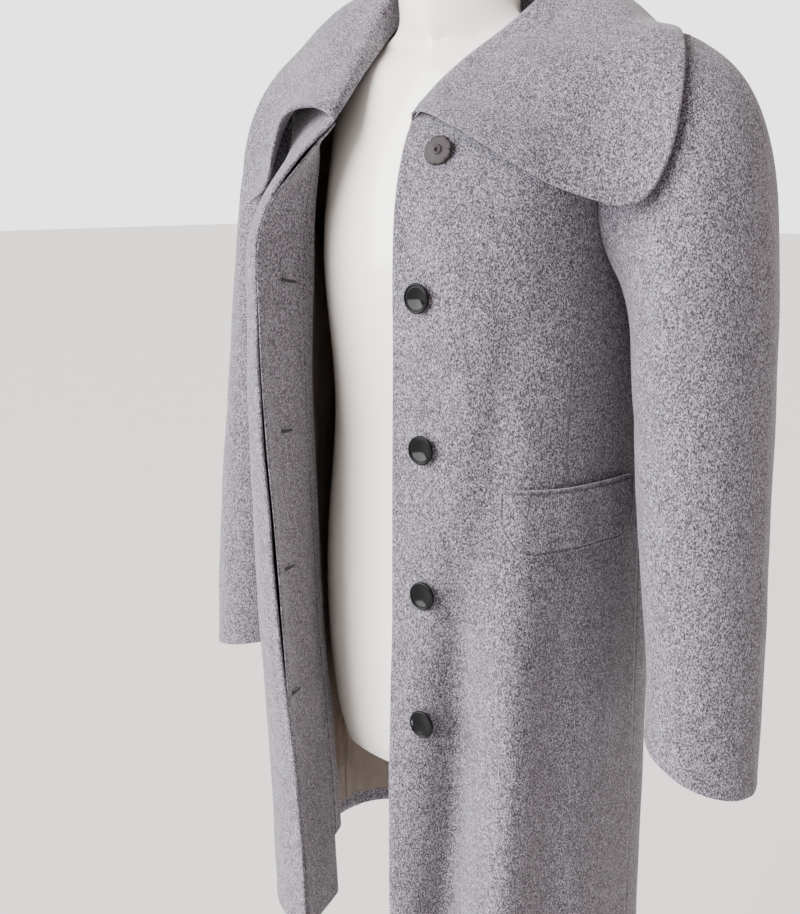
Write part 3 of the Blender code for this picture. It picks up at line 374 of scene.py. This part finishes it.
def satin_lining(name, looks):
    """Woven viscose satin: smooth, with a soft gloss that breaks over small puckers about 2 cm across. Its colour
    is darker in the puckers' hollows and lighter on their crests: painted shade and painted sheen.
    """
    material, output, place = new_material(name)
    hang = add_node(material, "ShaderNodeMapping", {"Scale": (1.0, 1.0, 0.35)},
                    {"Vector": place}).outputs["Vector"]
    puckers = add_node(material, "ShaderNodeTexNoise", {"Scale": 52.0, "Detail": 2.0, "Distortion": 0.8},
                       {"Vector": hang})
    weave = add_node(material, "ShaderNodeTexNoise", {"Scale": 1500.0, "Detail": 1.0}, {"Vector": hang})
    # the puckers that bend the satin also set its colour: painted shade in their hollows, painted sheen on their
    # crests
    tone = shaded(material, puckers, looks.satin, SATIN_PUCKER_SHADE_AND_SHEEN)
    grain = add_node(material, "ShaderNodeBump", {"Strength": 0.15, "Distance": 0.2 * MM},
                     {"Height": weave.outputs["Fac"]})
    folds = add_node(material, "ShaderNodeBump", {"Strength": 0.8, "Distance": 4.0 * MM},
                     {"Height": puckers.outputs["Fac"], "Normal": grain.outputs["Normal"]})
    return finish(material, output,
                  {"Roughness": 0.45, "Anisotropic": 0.4, "Sheen Weight": 0.1, "Sheen Roughness": 0.3},
                  {"Base Color": tone, "Normal": folds.outputs["Normal"]})


def button_resin(name, looks):
    """Cast polyester, turned and polished: near black, with a clear gloss."""
    material, output, place = new_material(name)
    haze = add_node(material, "ShaderNodeTexNoise", {"Scale": 300.0, "Detail": 2.0}, {"Vector": place})
    gloss = add_node(material, "ShaderNodeMapRange", {"To Min": 0.07, "To Max": 0.16},
                     {"Value": haze.outputs["Fac"]})
    return finish(material, output,
                  {"Base Color": (*looks.resin, 1.0), "Specular IOR Level": 0.12},
                  {"Roughness": gloss.outputs["Result"]})


def button_back_resin(name, looks):
    """The unpolished back of a cast button: dull grey-brown with faint swirls."""
    material, output, place = new_material(name)
    swirl = add_node(material, "ShaderNodeTexNoise", {"Scale": 240.0, "Detail": 3.0, "Distortion": 1.2},
                     {"Vector": place})
    tone = shaded(material, swirl, looks.resin_back, RESIN_SHADES)
    return finish(material, output, {"Roughness": 0.6, "Specular IOR Level": 0.25}, {"Base Color": tone})


def sewing_thread(name, looks):
    """Twisted polyester thread: dark, with a fine rib of 0.5 mm. In the buttonholes it fills the slit, so its
    near-black is partly painted shade of the cut.
    """
    material, output, place = new_material(name)
    twist = add_node(material, "ShaderNodeTexNoise", {"Scale": 2000.0, "Detail": 1.0}, {"Vector": place})
    rib = add_node(material, "ShaderNodeBump", {"Strength": 0.5, "Distance": 0.2 * MM},
                   {"Height": twist.outputs["Fac"]})
    return finish(material, output, {"Base Color": (*looks.thread, 1.0), "Roughness": 0.7},
                  {"Normal": rib.outputs["Normal"]})


def white_lacquer(name, looks):
    """Sprayed lacquer on glass fibre: white, glossy, with a faint orange peel of about 3 mm."""
    material, output, place = new_material(name)
    peel = add_node(material, "ShaderNodeTexNoise", {"Scale": 330.0, "Detail": 1.0}, {"Vector": place})
    skin = add_node(material, "ShaderNodeBump", {"Strength": 0.06, "Distance": 0.3 * MM},
                    {"Height": peel.outputs["Fac"]})
    return finish(material, output,
                  {"Base Color": (*looks.lacquer, 1.0), "Roughness": 0.24, "Coat Weight": 0.35,
                   "Coat Roughness": 0.08},
                  {"Normal": skin.outputs["Normal"]})


def brushed_steel(name, looks):
    """Steel tube and plate brushed in one direction: bright, with fine scratches that spread the gloss."""
    material, output, place = new_material(name)
    stretch = add_node(material, "ShaderNodeMapping", {"Scale": (1.0, 1.0, 12.0)}, {"Vector": place})
    scratches = add_node(material, "ShaderNodeTexNoise", {"Scale": 160.0, "Detail": 3.0},
                         {"Vector": stretch.outputs["Vector"]})
    gloss = add_node(material, "ShaderNodeMapRange", {"To Min": 0.26, "To Max": 0.42},
                     {"Value": scratches.outputs["Fac"]})
    return finish(material, output, {"Base Color": (*looks.steel, 1.0), "Metallic": 1.0},
                  {"Roughness": gloss.outputs["Result"]})


def painted_floor(name, looks):
    """Matt white studio floor with a barely uneven roller finish."""
    material, output, place = new_material(name)
    roller = add_node(material, "ShaderNodeTexNoise", {"Scale": 60.0, "Detail": 2.0}, {"Vector": place})
    skin = add_node(material, "ShaderNodeBump", {"Strength": 0.05, "Distance": 0.5 * MM},
                    {"Height": roller.outputs["Fac"]})
    return finish(material, output, {"Base Color": (*looks.floor, 1.0), "Roughness": 0.7},
                  {"Normal": skin.outputs["Normal"]})


def shared(maker, name, looks, *more):
    """The material of this name, made once."""
    return bpy.data.materials.get(name) or maker(name, looks, *more)


def cad_mesh(node):
    """A welded copy of a CAD node's mesh, with its flat triangles paired again."""
    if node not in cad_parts:
        raise RuntimeError(f"the frame has no {node}")
    shaped = bmesh.new()
    shaped.from_mesh(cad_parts[node].data)
    bmesh.ops.remove_doubles(shaped, verts=shaped.verts[:], dist=WELD)
    bmesh.ops.join_triangles(shaped, faces=shaped.faces[:], angle_face_threshold=math.pi,
                             angle_shape_threshold=math.pi)
    return shaped


def place_piece(name, shaped, materials, body="root"):
    """Give a finished shape its object and materials, and let it ride on the frame."""
    mesh_data = bpy.data.meshes.new(name)
    shaped.to_mesh(mesh_data)
    shaped.free()
    for material in materials:
        mesh_data.materials.append(material)
    mesh_data.shade_smooth()
    piece = bpy.data.objects.new(name, mesh_data)
    bpy.context.scene.collection.objects.link(piece)
    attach(piece, body)
    return piece


def divide(piece, times):
    """Subdivide a piece smoothly and keep the result."""
    smooth = piece.modifiers.new("smooth", "SUBSURF")
    smooth.levels = smooth.render_levels = times
    evaluated = piece.evaluated_get(bpy.context.evaluated_depsgraph_get())
    fine = bpy.data.meshes.new_from_object(evaluated)
    piece.modifiers.clear()
    rough = piece.data
    fine.name = rough.name
    piece.data = fine
    bpy.data.meshes.remove(rough)
    fine.shade_smooth()


def surface_of(nodes):
    """The faces of some CAD nodes, to measure distances from."""
    points, faces = [], []
    for node in nodes:
        mesh_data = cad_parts[node].data
        faces += [[len(points) + index for index in face.vertices] for face in mesh_data.polygons]
        points += [vert.co for vert in mesh_data.vertices]
    return BVHTree.FromPolygons(points, faces)


def clear_of(points, surface, near, far):
    """0 where points lie nearer than near to a surface, 1 where they are farther than far."""
    gaps = np.array([surface.find_nearest(point, far)[3] or far for point in points])
    return fade(gaps, near, far)


def rim_tree(pairs):
    """Points every 2 mm along pairs of ends, to measure distances from."""
    places = []
    for start, end in pairs:
        count = max(1, round((end - start).length / RIM_STEP))
        places += [start.lerp(end, step / count) for step in range(count + 1)]
    tree = KDTree(len(places))
    for index, place in enumerate(places):
        tree.insert(place, index)
    tree.balance()
    return tree


def round_rims(shaped, rounding, neighbours):
    """Round the free rims of a cloth wall, as a turned edge is. A rim sewn to a neighbour stays sharp."""
    sharp = shaped.edges.layers.float.new("crease_edge")
    held = shaped.verts.layers.float.new("crease_vert")
    rims = [edge for edge in shaped.edges if edge.is_manifold and edge.calc_face_angle() > RIM_ANGLE]
    meeting = [vert for edge in rims for vert in edge.verts]
    corners = [vert.co.copy() for vert in set(meeting) if meeting.count(vert) == 3]
    free = []
    for edge in rims:
        middle = (edge.verts[0].co + edge.verts[1].co) / 2
        if neighbours and neighbours.find_nearest(middle, SEAM_NEAR)[0]:
            edge[sharp] = 1.0
        else:
            free.append(edge)
    sewn = {vert for edge in rims if edge[sharp] for vert in edge.verts}
    for edge in [edge for edge in free if sewn.intersection(edge.verts)]:
        edge[sharp] = 1.0
        free.remove(edge)
        for vert in sewn.intersection(edge.verts):
            vert[held] = 1.0
    ends = [[vert.co.copy() for vert in edge.verts] for edge in free]
    seams = [[vert.co.copy() for vert in edge.verts] for edge in rims if edge[sharp]]
    bmesh.ops.bevel(shaped, geom=free, offset=rounding, segments=1, profile=0.5, affect="EDGES", material=-1,
                    clamp_overlap=True)
    for vert in shaped.verts:
        if any((vert.co - corner).length < CORNER_REACH * rounding for corner in corners):
            vert[held] = CORNER_HOLD
    return ends, seams


def points_of(piece):
    """A piece's points as an array."""
    flat = np.empty(len(piece.data.vertices) * 3)
    piece.data.vertices.foreach_get("co", flat)
    return flat.reshape(-1, 3)


def move_points(piece, shift):
    """Move a piece's points by an array."""
    piece.data.vertices.foreach_set("co", (points_of(piece) + shift).ravel())
    piece.data.update()


def round_body(points):
    """Angle in degrees, radius and outward direction of points round the body."""
    angle = np.degrees(np.arctan2(points[:, 0], -points[:, 1])) % 360.0
    radius = np.hypot(points[:, 0], points[:, 1])
    out = np.stack([points[:, 0], points[:, 1], np.zeros(len(points))], axis=1) / radius[:, None]
    return angle, radius, out


def round_sleeve(points, side):
    """The same round a sleeve's axis, for the left (1) or the right (-1) sleeve."""
    axis = np.array(SLEEVE_AXIS) * CM
    middle_x = np.interp(points[:, 2], axis[:, 0], axis[:, 1])
    middle_y = np.interp(points[:, 2], axis[:, 0], axis[:, 2])
    across, ahead = points[:, 0] * side - middle_x, points[:, 1] - middle_y
    radius = np.hypot(across, ahead)
    out = np.stack([across * side, ahead, np.zeros(len(points))], axis=1) / radius[:, None]
    return np.degrees(np.arctan2(across, -ahead)) % 360.0, radius, out


def fade(value, low, high):
    """0 at low, 1 at high, smooth between."""
    t = np.clip((value - low) / (high - low), 0.0, 1.0)
    return t * t * (3 - 2 * t)


def crease_lift(creases, angle, radius, height):
    """How far a table of creases moves points out, in metres."""
    lift = np.zeros(len(angle))
    (wander, wander_waves), (share, swell_waves) = CREASE_WANDER, CREASE_SWELL
    for start_angle, start, end_angle, end, bow, width, depth in creases:
        turn = (end_angle - start_angle + 180.0) % 360.0 - 180.0
        here = (angle - start_angle + 180.0) % 360.0 - 180.0
        across = np.radians(here) * radius / CM
        along = np.array((math.radians(turn) * np.median(radius) / CM, end - start))
        length = np.linalg.norm(along)
        along /= length
        t = across * along[0] + (height / CM - start) * along[1]
        side = across * along[1] - (height / CM - start) * along[0]
        part = np.clip(t / length, 0.0, 1.0)
        side = side - bow * np.sin(part * math.pi) - wander * np.sin(part * wander_waves + start_angle)
        swell = 1.0 - share + share * np.sin(part * swell_waves + start)
        ends = fade(t / length, *CREASE_START) * (1.0 - fade(t / length, *CREASE_END))
        lift += depth * CM * swell * ends * np.exp(-(side / width) ** 2)
    return lift


def undulation(points):
    """The slight unevenness of hanging wool, about half a millimetre."""
    x, y, z = points.T / CM
    return UNEVENNESS * (np.sin(0.9 * x + 0.35 * z + 1.3) * np.sin(0.8 * y - 0.41 * z)
                         + np.sin(1.9 * x - 0.9 * y + 0.23 * z + 0.7) * 0.5 + np.sin(0.62 * z + 1.4 * y) * 0.5)


def drape_body(points, looks, creases=BODY_CREASES):
    """How the body's soft creases move points."""
    angle, radius, out = round_body(points)
    height = points[:, 2]
    lift = crease_lift(creases, angle, radius, height) + undulation(points)
    return out * (lift * looks.crease_strength)[:, None]


def drape_sleeve(points, looks, side):
    """How a sleeve's soft creases move points."""
    angle, radius, out = round_sleeve(points, side)
    lift = crease_lift(SLEEVE_CREASES, angle, radius, points[:, 2]) + undulation(points)
    return out * (lift * fade(radius, *SLEEVE_CORE) * looks.crease_strength)[:, None]


def drape_collar(points, looks):
    """How the collar's soft creases move points up and out."""
    lift = np.zeros(len(points))
    for x0, y0, z0, x1, y1, z1, width, depth in COLLAR_CREASES:
        for side, share in ((1.0, 1.0), (-1.0, COLLAR_RIGHT_SHARE)):
            start, end = np.array((x0 * side, y0, z0)) * CM, np.array((x1 * side, y1, z1)) * CM
            along = end - start
            t = (points - start) @ along / (along @ along)
            near = start + np.clip(t, 0.0, 1.0)[:, None] * along
            gap = np.linalg.norm(points - near, axis=1) / CM
            lift += depth * CM * share * np.exp(-(gap / width) ** 2)
    out = np.stack([points[:, 0], points[:, 1], np.full(len(points), COLLAR_LEAN)], axis=1)
    out /= np.linalg.norm(out, axis=1)[:, None]
    shift = out * ((lift + undulation(points)) * looks.crease_strength)[:, None]
    for row in np.array(COLLAR_ROLL) * CM:
        gap = np.linalg.norm(points - row[:3], axis=1)
        shift += row[4:] * np.exp(-(gap / row[3]) ** 2)[:, None]
    return shift


def keep_seam(piece, gap):
    """Keep each point's distance from a seam, given in centimetres, for the wool to draw it."""
    attribute = piece.data.attributes.new("seam", "FLOAT", "POINT")
    attribute.data.foreach_set("value", (SEAM_ZERO + gap).astype(np.float32))


def mark_seam(piece, angle, radius, height, seam):
    """Mark a seam that runs up the body or a sleeve along a line of angles."""
    line = np.array(seam)
    at = np.interp(height / CM, line[:, 0], line[:, 1])
    gap = np.radians((angle - at + 180.0) % 360.0 - 180.0) * radius / CM
    gap = np.clip(gap, -SEAM_REACH, SEAM_REACH)
    beyond = (height / CM < line[0, 0]) | (height / CM > line[-1, 0])
    keep_seam(piece, np.where(beyond, -SEAM_ZERO, gap))


def line_inside(piece, out_of, keep_wool):
    """Give the faces that look inwards the second material, except where the wool turns in."""
    mesh_data = piece.data
    count = len(mesh_data.polygons)
    centres, normals = np.empty(count * 3), np.empty(count * 3)
    mesh_data.polygons.foreach_get("center", centres)
    mesh_data.polygons.foreach_get("normal", normals)
    centres, normals = centres.reshape(-1, 3), normals.reshape(-1, 3)
    inward = (normals * out_of(centres)[2]).sum(1) < INWARD
    use = (inward & ~keep_wool(centres)).astype(np.int32)
    mesh_data.polygons.foreach_set("material_index", use)
    mesh_data.update()


def cloth_piece(node, materials, looks, drape, times=None,
                sewn_to=("sleeve_left", "sleeve_right", "collar"), swell=0.6 * MM, rim_seam=None):
    """A piece of cloth on its solid's form: rounded edges, fine faces and soft creases that end at its seams.

    With sewn_to the creases end near those pieces, and without it they end at the piece's own sewn rims.
    """
    shaped = cad_mesh(node)
    ends, seams = round_rims(shaped, looks.edge_rounding, surface_of(other for other in CLOTH if other != node))
    piece = place_piece(f"{node}_cloth", shaped, materials)
    divide(piece, times or looks.fineness)
    points = points_of(piece)
    rims = rim_tree(ends)
    from_rim = np.array([rims.find(point)[2] for point in points])
    normals = np.empty(points.size)
    piece.data.vertex_normals.foreach_get("vector", normals)
    thicken = normals.reshape(-1, 3) * (swell * (1.0 - fade(from_rim, *RIM_SWELL)))[:, None]
    if sewn_to:
        off_seam = clear_of(points, surface_of(sewn_to), *SEAM_FADE)
    else:
        stitched = rim_tree(seams)
        off_seam = fade(np.array([stitched.find(point)[2] for point in points]), *SEAM_FADE)
    move_points(piece, (drape(points) + thicken) * off_seam[:, None])
    if rim_seam:
        keep_seam(piece, (from_rim - rim_seam) / CM)
    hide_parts(node)
    return piece


class COAT_OT_fronts(bpy.types.Operator):
    """Left and right front, with the seam that runs from armhole to pocket"""
    bl_idname = "coat.fronts"
    bl_label = "Fronts"

    def execute(self, context):
        looks = context.scene.coat_looks
        wool = shared(melton_wool, "melton wool, milled and brushed", looks)
        satin = shared(satin_lining, "taupe viscose satin", looks)
        for node, side, flat, area in (("front_left", 1, (0.31, 0.93), 0.197),
                                       ("front_right", -1, (0.30, 0.93), 0.182)):
            piece = cloth_piece(node, [wool, satin], looks, lambda points: drape_body(points, looks))
            angle, radius, _ = round_body(points_of(piece))
            mark_seam(piece, angle if side > 0 else 360.0 - angle, radius, points_of(piece)[:, 2], DART_SEAM)
            line_inside(piece, round_body,
                        lambda centres: (np.abs(centres[:, 0]) < FRONT_BAND) | (centres[:, 2] < HEM_BAND))
        return {"FINISHED"}


class COAT_OT_back(bpy.types.Operator):
    """Back, with its centre seam"""
    bl_idname = "coat.back"
    bl_label = "Back"

    def execute(self, context):
        looks = context.scene.coat_looks
        wool = shared(melton_wool, "melton wool, milled and brushed", looks)
        satin = shared(satin_lining, "taupe viscose satin", looks)
        piece = cloth_piece("back", [wool, satin], looks, lambda points: drape_body(points, looks))
        line_inside(piece, round_body, lambda centres: centres[:, 2] < HEM_BAND)
        angle, radius, _ = round_body(points_of(piece))
        mark_seam(piece, angle, radius, points_of(piece)[:, 2], BACK_SEAM)
        return {"FINISHED"}


class COAT_OT_sleeves(bpy.types.Operator):
    """Two-piece sleeves, lined inside"""
    bl_idname = "coat.sleeves"
    bl_label = "Sleeves"

    def execute(self, context):
        looks = context.scene.coat_looks
        wool = shared(melton_wool, "melton wool, milled and brushed", looks)
        satin = shared(satin_lining, "taupe viscose satin", looks)
        for node, side in (("sleeve_left", 1), ("sleeve_right", -1)):
            piece = cloth_piece(node, [wool, satin], looks, lambda points: drape_sleeve(points, looks, side),
                                sewn_to=BODY_WOOL)
            angle, radius, _ = round_sleeve(points_of(piece), side)
            mark_seam(piece, angle, radius, points_of(piece)[:, 2], HIND_SEAM)
            line_inside(piece, lambda points: round_sleeve(points, side),
                        lambda centres: centres[:, 2] < CUFF_BAND)
        return {"FINISHED"}


class COAT_OT_collar(bpy.types.Operator):
    """Wide collar, turned out over the shoulders"""
    bl_idname = "coat.collar"
    bl_label = "Collar"

    def execute(self, context):
        looks = context.scene.coat_looks
        wool = shared(melton_wool, "melton wool, milled and brushed", looks)
        cloth_piece("collar", [wool], looks, lambda points: drape_collar(points, looks),
                    sewn_to=())
        return {"FINISHED"}


class COAT_OT_flaps(bpy.types.Operator):
    """Pocket flaps, which move with the fronts under them"""
    bl_idname = "coat.flaps"
    bl_label = "Pocket flaps"

    def execute(self, context):
        looks = context.scene.coat_looks
        wool = shared(melton_wool, "melton wool, milled and brushed", looks)

        def drape(points, side):
            mirrored = points * (side, 1.0, 1.0)
            own = drape_body(mirrored, looks, FLAP_CREASES) * (side, 1.0, 1.0)
            return own + drape_body(points, looks)

        for node, side in (("pocket_flap_left", 1), ("pocket_flap_right", -1)):
            cloth_piece(node, [wool], looks, lambda points: drape(points, side),
                        rim_seam=FLAP_STITCH)
        return {"FINISHED"}


class COAT_OT_fly(bpy.types.Operator):
    """Hidden fly inside the right front: placket, facing strip and buttonholes"""
    bl_idname = "coat.fly"
    bl_label = "Hidden fly"

    def execute(self, context):
        looks = context.scene.coat_looks
        # the placket and facing strip are the same melton, darkened to 0.92 as painted shade inside the fly
        facing = shared(melton_wool, "melton wool facing", looks, 0.92)
        thread = shared(sewing_thread, "polyester buttonhole thread", looks)

        def narrow(points):
            table = np.array(FLY_MOVE) * CM
            move = np.stack([np.interp(points[:, 2], table[:, 0], table[:, 1]),
                             np.interp(points[:, 2], table[:, 0], table[:, 2]), np.zeros(len(points))], axis=1)
            edge = 1.0 - fade(points[:, 1], *FLY_FADE)
            return drape_body(points, looks) + move * edge[:, None]

        placket = cloth_piece("placket_right", [facing], looks, narrow)
        cloth_piece("facing_right", [facing], looks, lambda points: drape_body(points, looks))
        surface = BVHTree.FromObject(placket, bpy.context.evaluated_depsgraph_get())
        for number, ends in enumerate(BUTTONHOLES, start=1):
            start, end = Vector(ends[:3]) * CM, Vector(ends[3:]) * CM
            point, normal, _, _ = surface.find_nearest((start + end) / 2)
            if normal.x < 0:
                normal = -normal
            along = (end - start).normalized()
            side = normal.cross(along).normalized()
            turn = Matrix((along, side, along.cross(side))).transposed().to_4x4()
            if (turn @ Vector((0, 0, 1))).x < 0:
                turn = turn @ Matrix.Rotation(math.pi, 4, "X")
            length = (end - start).length
            shaped = bmesh.new()
            for part, (shift, wide, high, share) in enumerate(BUTTONHOLE_PARTS):
                stretch = Matrix.Diagonal((length * share, wide * MM, high * MM, 1.0))
                aside = Matrix.Translation((0.0, shift * MM, BUTTONHOLE_LIFT))
                made = bmesh.ops.create_uvsphere(shaped, u_segments=24, v_segments=12, radius=1.0,
                                                 matrix=Matrix.Translation(point) @ turn @ aside @ stretch)
                # the slit takes the dark thread, partly painted shade of the cut; the lips take the wool
                for face in {face for vert in made["verts"] for face in vert.link_faces}:
                    face.material_index = min(part, 1)
            place_piece(f"buttonhole_{number}", shaped, [thread, facing])
        return {"FINISHED"}


class COAT_OT_linings(bpy.types.Operator):
    """Satin lining that shows inside the right front and the back"""
    bl_idname = "coat.linings"
    bl_label = "Linings"

    def execute(self, context):
        looks = context.scene.coat_looks
        satin = shared(satin_lining, "taupe viscose satin", looks)
        cloth_piece("lining_back", [satin], looks, lambda points: drape_body(points, looks),
                    times=2, swell=0.0)
        cloth_piece("lining_right", [satin], looks, lambda points: drape_body(points, looks),
                    swell=0.0)
        return {"FINISHED"}


def stand_of(node):
    """Where a button stands: its foot on the cloth, with Z out along its axis."""
    points = np.array([vert.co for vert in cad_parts[node].data.vertices])
    middle = (points.min(0) + points.max(0)) / 2
    _, _, axes = np.linalg.svd(points - points.mean(0), full_matrices=False)
    normal = axes[2] * (-1 if axes[2][1] > 0 else 1)
    reach = (points - middle) @ normal
    foot = Vector(middle + normal * reach.min())
    turn = Vector(normal).to_track_quat("Z", "Y").to_matrix().to_4x4()
    return Matrix.Translation(foot) @ turn


def turned_piece(name, profile, place, materials, notched=False):
    """A button turned from a profile in millimetres, standing at a place."""
    shaped = bmesh.new()
    verts = [shaped.verts.new((radius * MM, 0.0, height * MM)) for radius, height in profile]
    edges = [shaped.edges.new(pair) for pair in zip(verts, verts[1:])]
    bmesh.ops.spin(shaped, geom=verts + edges, axis=(0, 0, 1), cent=(0, 0, 0), steps=BUTTON_STEPS,
                   angle=2 * math.pi, use_merge=True)
    bmesh.ops.remove_doubles(shaped, verts=shaped.verts[:], dist=WELD / 10)
    bmesh.ops.recalc_face_normals(shaped, faces=shaped.faces[:])
    if notched:
        for vert in shaped.verts:
            radius = math.hypot(vert.co.x, vert.co.y)
            part = (math.atan2(vert.co.y, vert.co.x) / (2 * math.pi) * NOTCHES) % 1.0
            if radius > NOTCH_FROM * MM and part < NOTCH_STEPS * NOTCHES / BUTTON_STEPS:
                vert.co.x *= NOTCH_DEPTH
                vert.co.y *= NOTCH_DEPTH
    bmesh.ops.transform(shaped, matrix=place, verts=shaped.verts[:])
    return place_piece(name, shaped, materials)


class COAT_OT_buttons(bpy.types.Operator):
    """Four black buttons, and the top one turned over"""
    bl_idname = "coat.buttons"
    bl_label = "Buttons"

    def execute(self, context):
        looks = context.scene.coat_looks
        resin = shared(button_resin, "cast polyester, polished black", looks)
        dull = shared(button_back_resin, "cast polyester, unpolished", looks)
        for number in range(1, 6):
            node = f"button_{number}"
            place = stand_of(node)
            shift = drape_body(np.array([place.translation]), looks)[0]
            place = Matrix.Translation(Vector(shift)) @ place
            if number == 1:
                hang = Vector(TURNED_FACE).to_track_quat("Z", "Y").to_matrix().to_4x4()
                place = Matrix.Translation(place.translation + Vector(TURNED_MOVE)) @ hang
                piece = turned_piece(f"{node}_turned", BUTTON_BACK, place, [dull], notched=True)
            else:
                piece = turned_piece(f"{node}_polished", BUTTON_FACE, place, [resin])
            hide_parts(node)
        return {"FINISHED"}


class COAT_OT_form(bpy.types.Operator):
    """White torso form on its pole and round base"""
    bl_idname = "coat.form"
    bl_label = "Dress form"

    def execute(self, context):
        looks = context.scene.form_looks
        lacquer = shared(white_lacquer, "white lacquer on glass fibre", looks)
        steel = shared(brushed_steel, "brushed steel", looks)
        for node, material, times, rounding in (("form_torso", lacquer, 2, 2.0), ("form_pole", steel, 2, 0.6),
                                                ("form_base", steel, 2, 0.8)):
            shaped = cad_mesh(node)
            round_rims(shaped, rounding * MM, None)
            piece = place_piece(f"{node}_finished", shaped, [material])
            divide(piece, times)
            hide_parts(node)
        return {"FINISHED"}


class COAT_OT_studio(bpy.types.Operator):
    """Pale floor, soft light and the camera"""
    bl_idname = "coat.studio"
    bl_label = "Studio"

    def execute(self, context):
        looks = context.scene.studio_looks
        scene = context.scene
        shaped = bmesh.new()
        bmesh.ops.create_grid(shaped, x_segments=4, y_segments=4, size=FLOOR_SIZE / 2)
        mesh_data = bpy.data.meshes.new("floor")
        shaped.to_mesh(mesh_data)
        shaped.free()
        mesh_data.materials.append(shared(painted_floor, "matt white floor paint", looks))
        floor = bpy.data.objects.new("floor", mesh_data)
        scene.collection.objects.link(floor)

        world = bpy.data.worlds.new("studio room")
        world.use_nodes = True
        nodes, links = world.node_tree.nodes, world.node_tree.links
        room = nodes["Background"]
        wall = nodes.new("ShaderNodeBackground")
        for shade, tint, strength in ((room, looks.sky, looks.room_strength),
                                      (wall, looks.floor, looks.wall_strength)):
            shade.inputs["Color"].default_value = (*tint, 1.0)
            shade.inputs["Strength"].default_value = strength
        seen, either = nodes.new("ShaderNodeLightPath"), nodes.new("ShaderNodeMixShader")
        links.new(seen.outputs["Is Camera Ray"], either.inputs["Fac"])
        links.new(room.outputs["Background"], either.inputs[1])
        links.new(wall.outputs["Background"], either.inputs[2])
        links.new(either.outputs["Shader"], nodes["World Output"].inputs["Surface"])
        scene.world = world

        for name, place, wide, share in LIGHTS:
            light = bpy.data.lights.new(name, "SUN")
            light.energy = looks.window_strength * share
            light.angle = math.radians(wide)
            lamp = bpy.data.objects.new(name, light)
            lamp.location = place
            lamp.rotation_mode = "QUATERNION"
            lamp.rotation_quaternion = (-Vector(place)).to_track_quat("-Z", "Y")
            scene.collection.objects.link(lamp)

        view = bpy.data.cameras.new("camera")
        view.lens = CAMERA_LENS
        camera = bpy.data.objects.new("camera", view)
        camera.location = CAMERA_PLACE
        camera.rotation_mode = "QUATERNION"
        camera.rotation_quaternion = Vector(CAMERA_AIM).to_track_quat("-Z", "Y")
        scene.collection.objects.link(camera)
        scene.camera = camera
        return {"FINISHED"}


OPERATORS = (COAT_OT_fronts, COAT_OT_back, COAT_OT_sleeves, COAT_OT_collar, COAT_OT_flaps, COAT_OT_fly,
             COAT_OT_linings, COAT_OT_buttons, COAT_OT_form, COAT_OT_studio)


class COAT_PT_panel(bpy.types.Panel):
    """Sidebar list of the coat's pieces and looks"""
    bl_idname = "COAT_PT_panel"
    bl_label = "Wool coat"
    bl_space_type = "VIEW_3D"
    bl_region_type = "UI"
    bl_category = "Coat"

    def draw(self, context):
        for operator in OPERATORS:
            self.layout.operator(operator.bl_idname)
        for looks in (context.scene.coat_looks, context.scene.form_looks, context.scene.studio_looks):
            box = self.layout.box()
            for name in looks.__annotations__:
                box.prop(looks, name)


GROUPS = (CoatLooks, FormLooks, StudioLooks)
CLASSES = (*GROUPS, *OPERATORS, COAT_PT_panel)


def register():
    """Add the classes and their settings."""
    for item in CLASSES:
        bpy.utils.register_class(item)
    bpy.types.Scene.coat_looks = PointerProperty(type=CoatLooks)
    bpy.types.Scene.form_looks = PointerProperty(type=FormLooks)
    bpy.types.Scene.studio_looks = PointerProperty(type=StudioLooks)


def unregister():
    """Take the classes and their settings away."""
    del bpy.types.Scene.studio_looks
    del bpy.types.Scene.form_looks
    del bpy.types.Scene.coat_looks
    for item in reversed(CLASSES):
        bpy.utils.unregister_class(item)


def main():
    """Register the classes and build every piece."""
    register()
    for operator in OPERATORS:
        group, name = operator.bl_idname.split(".")
        getattr(getattr(bpy.ops, group), name)()


if __name__ == "__main__":
    main()
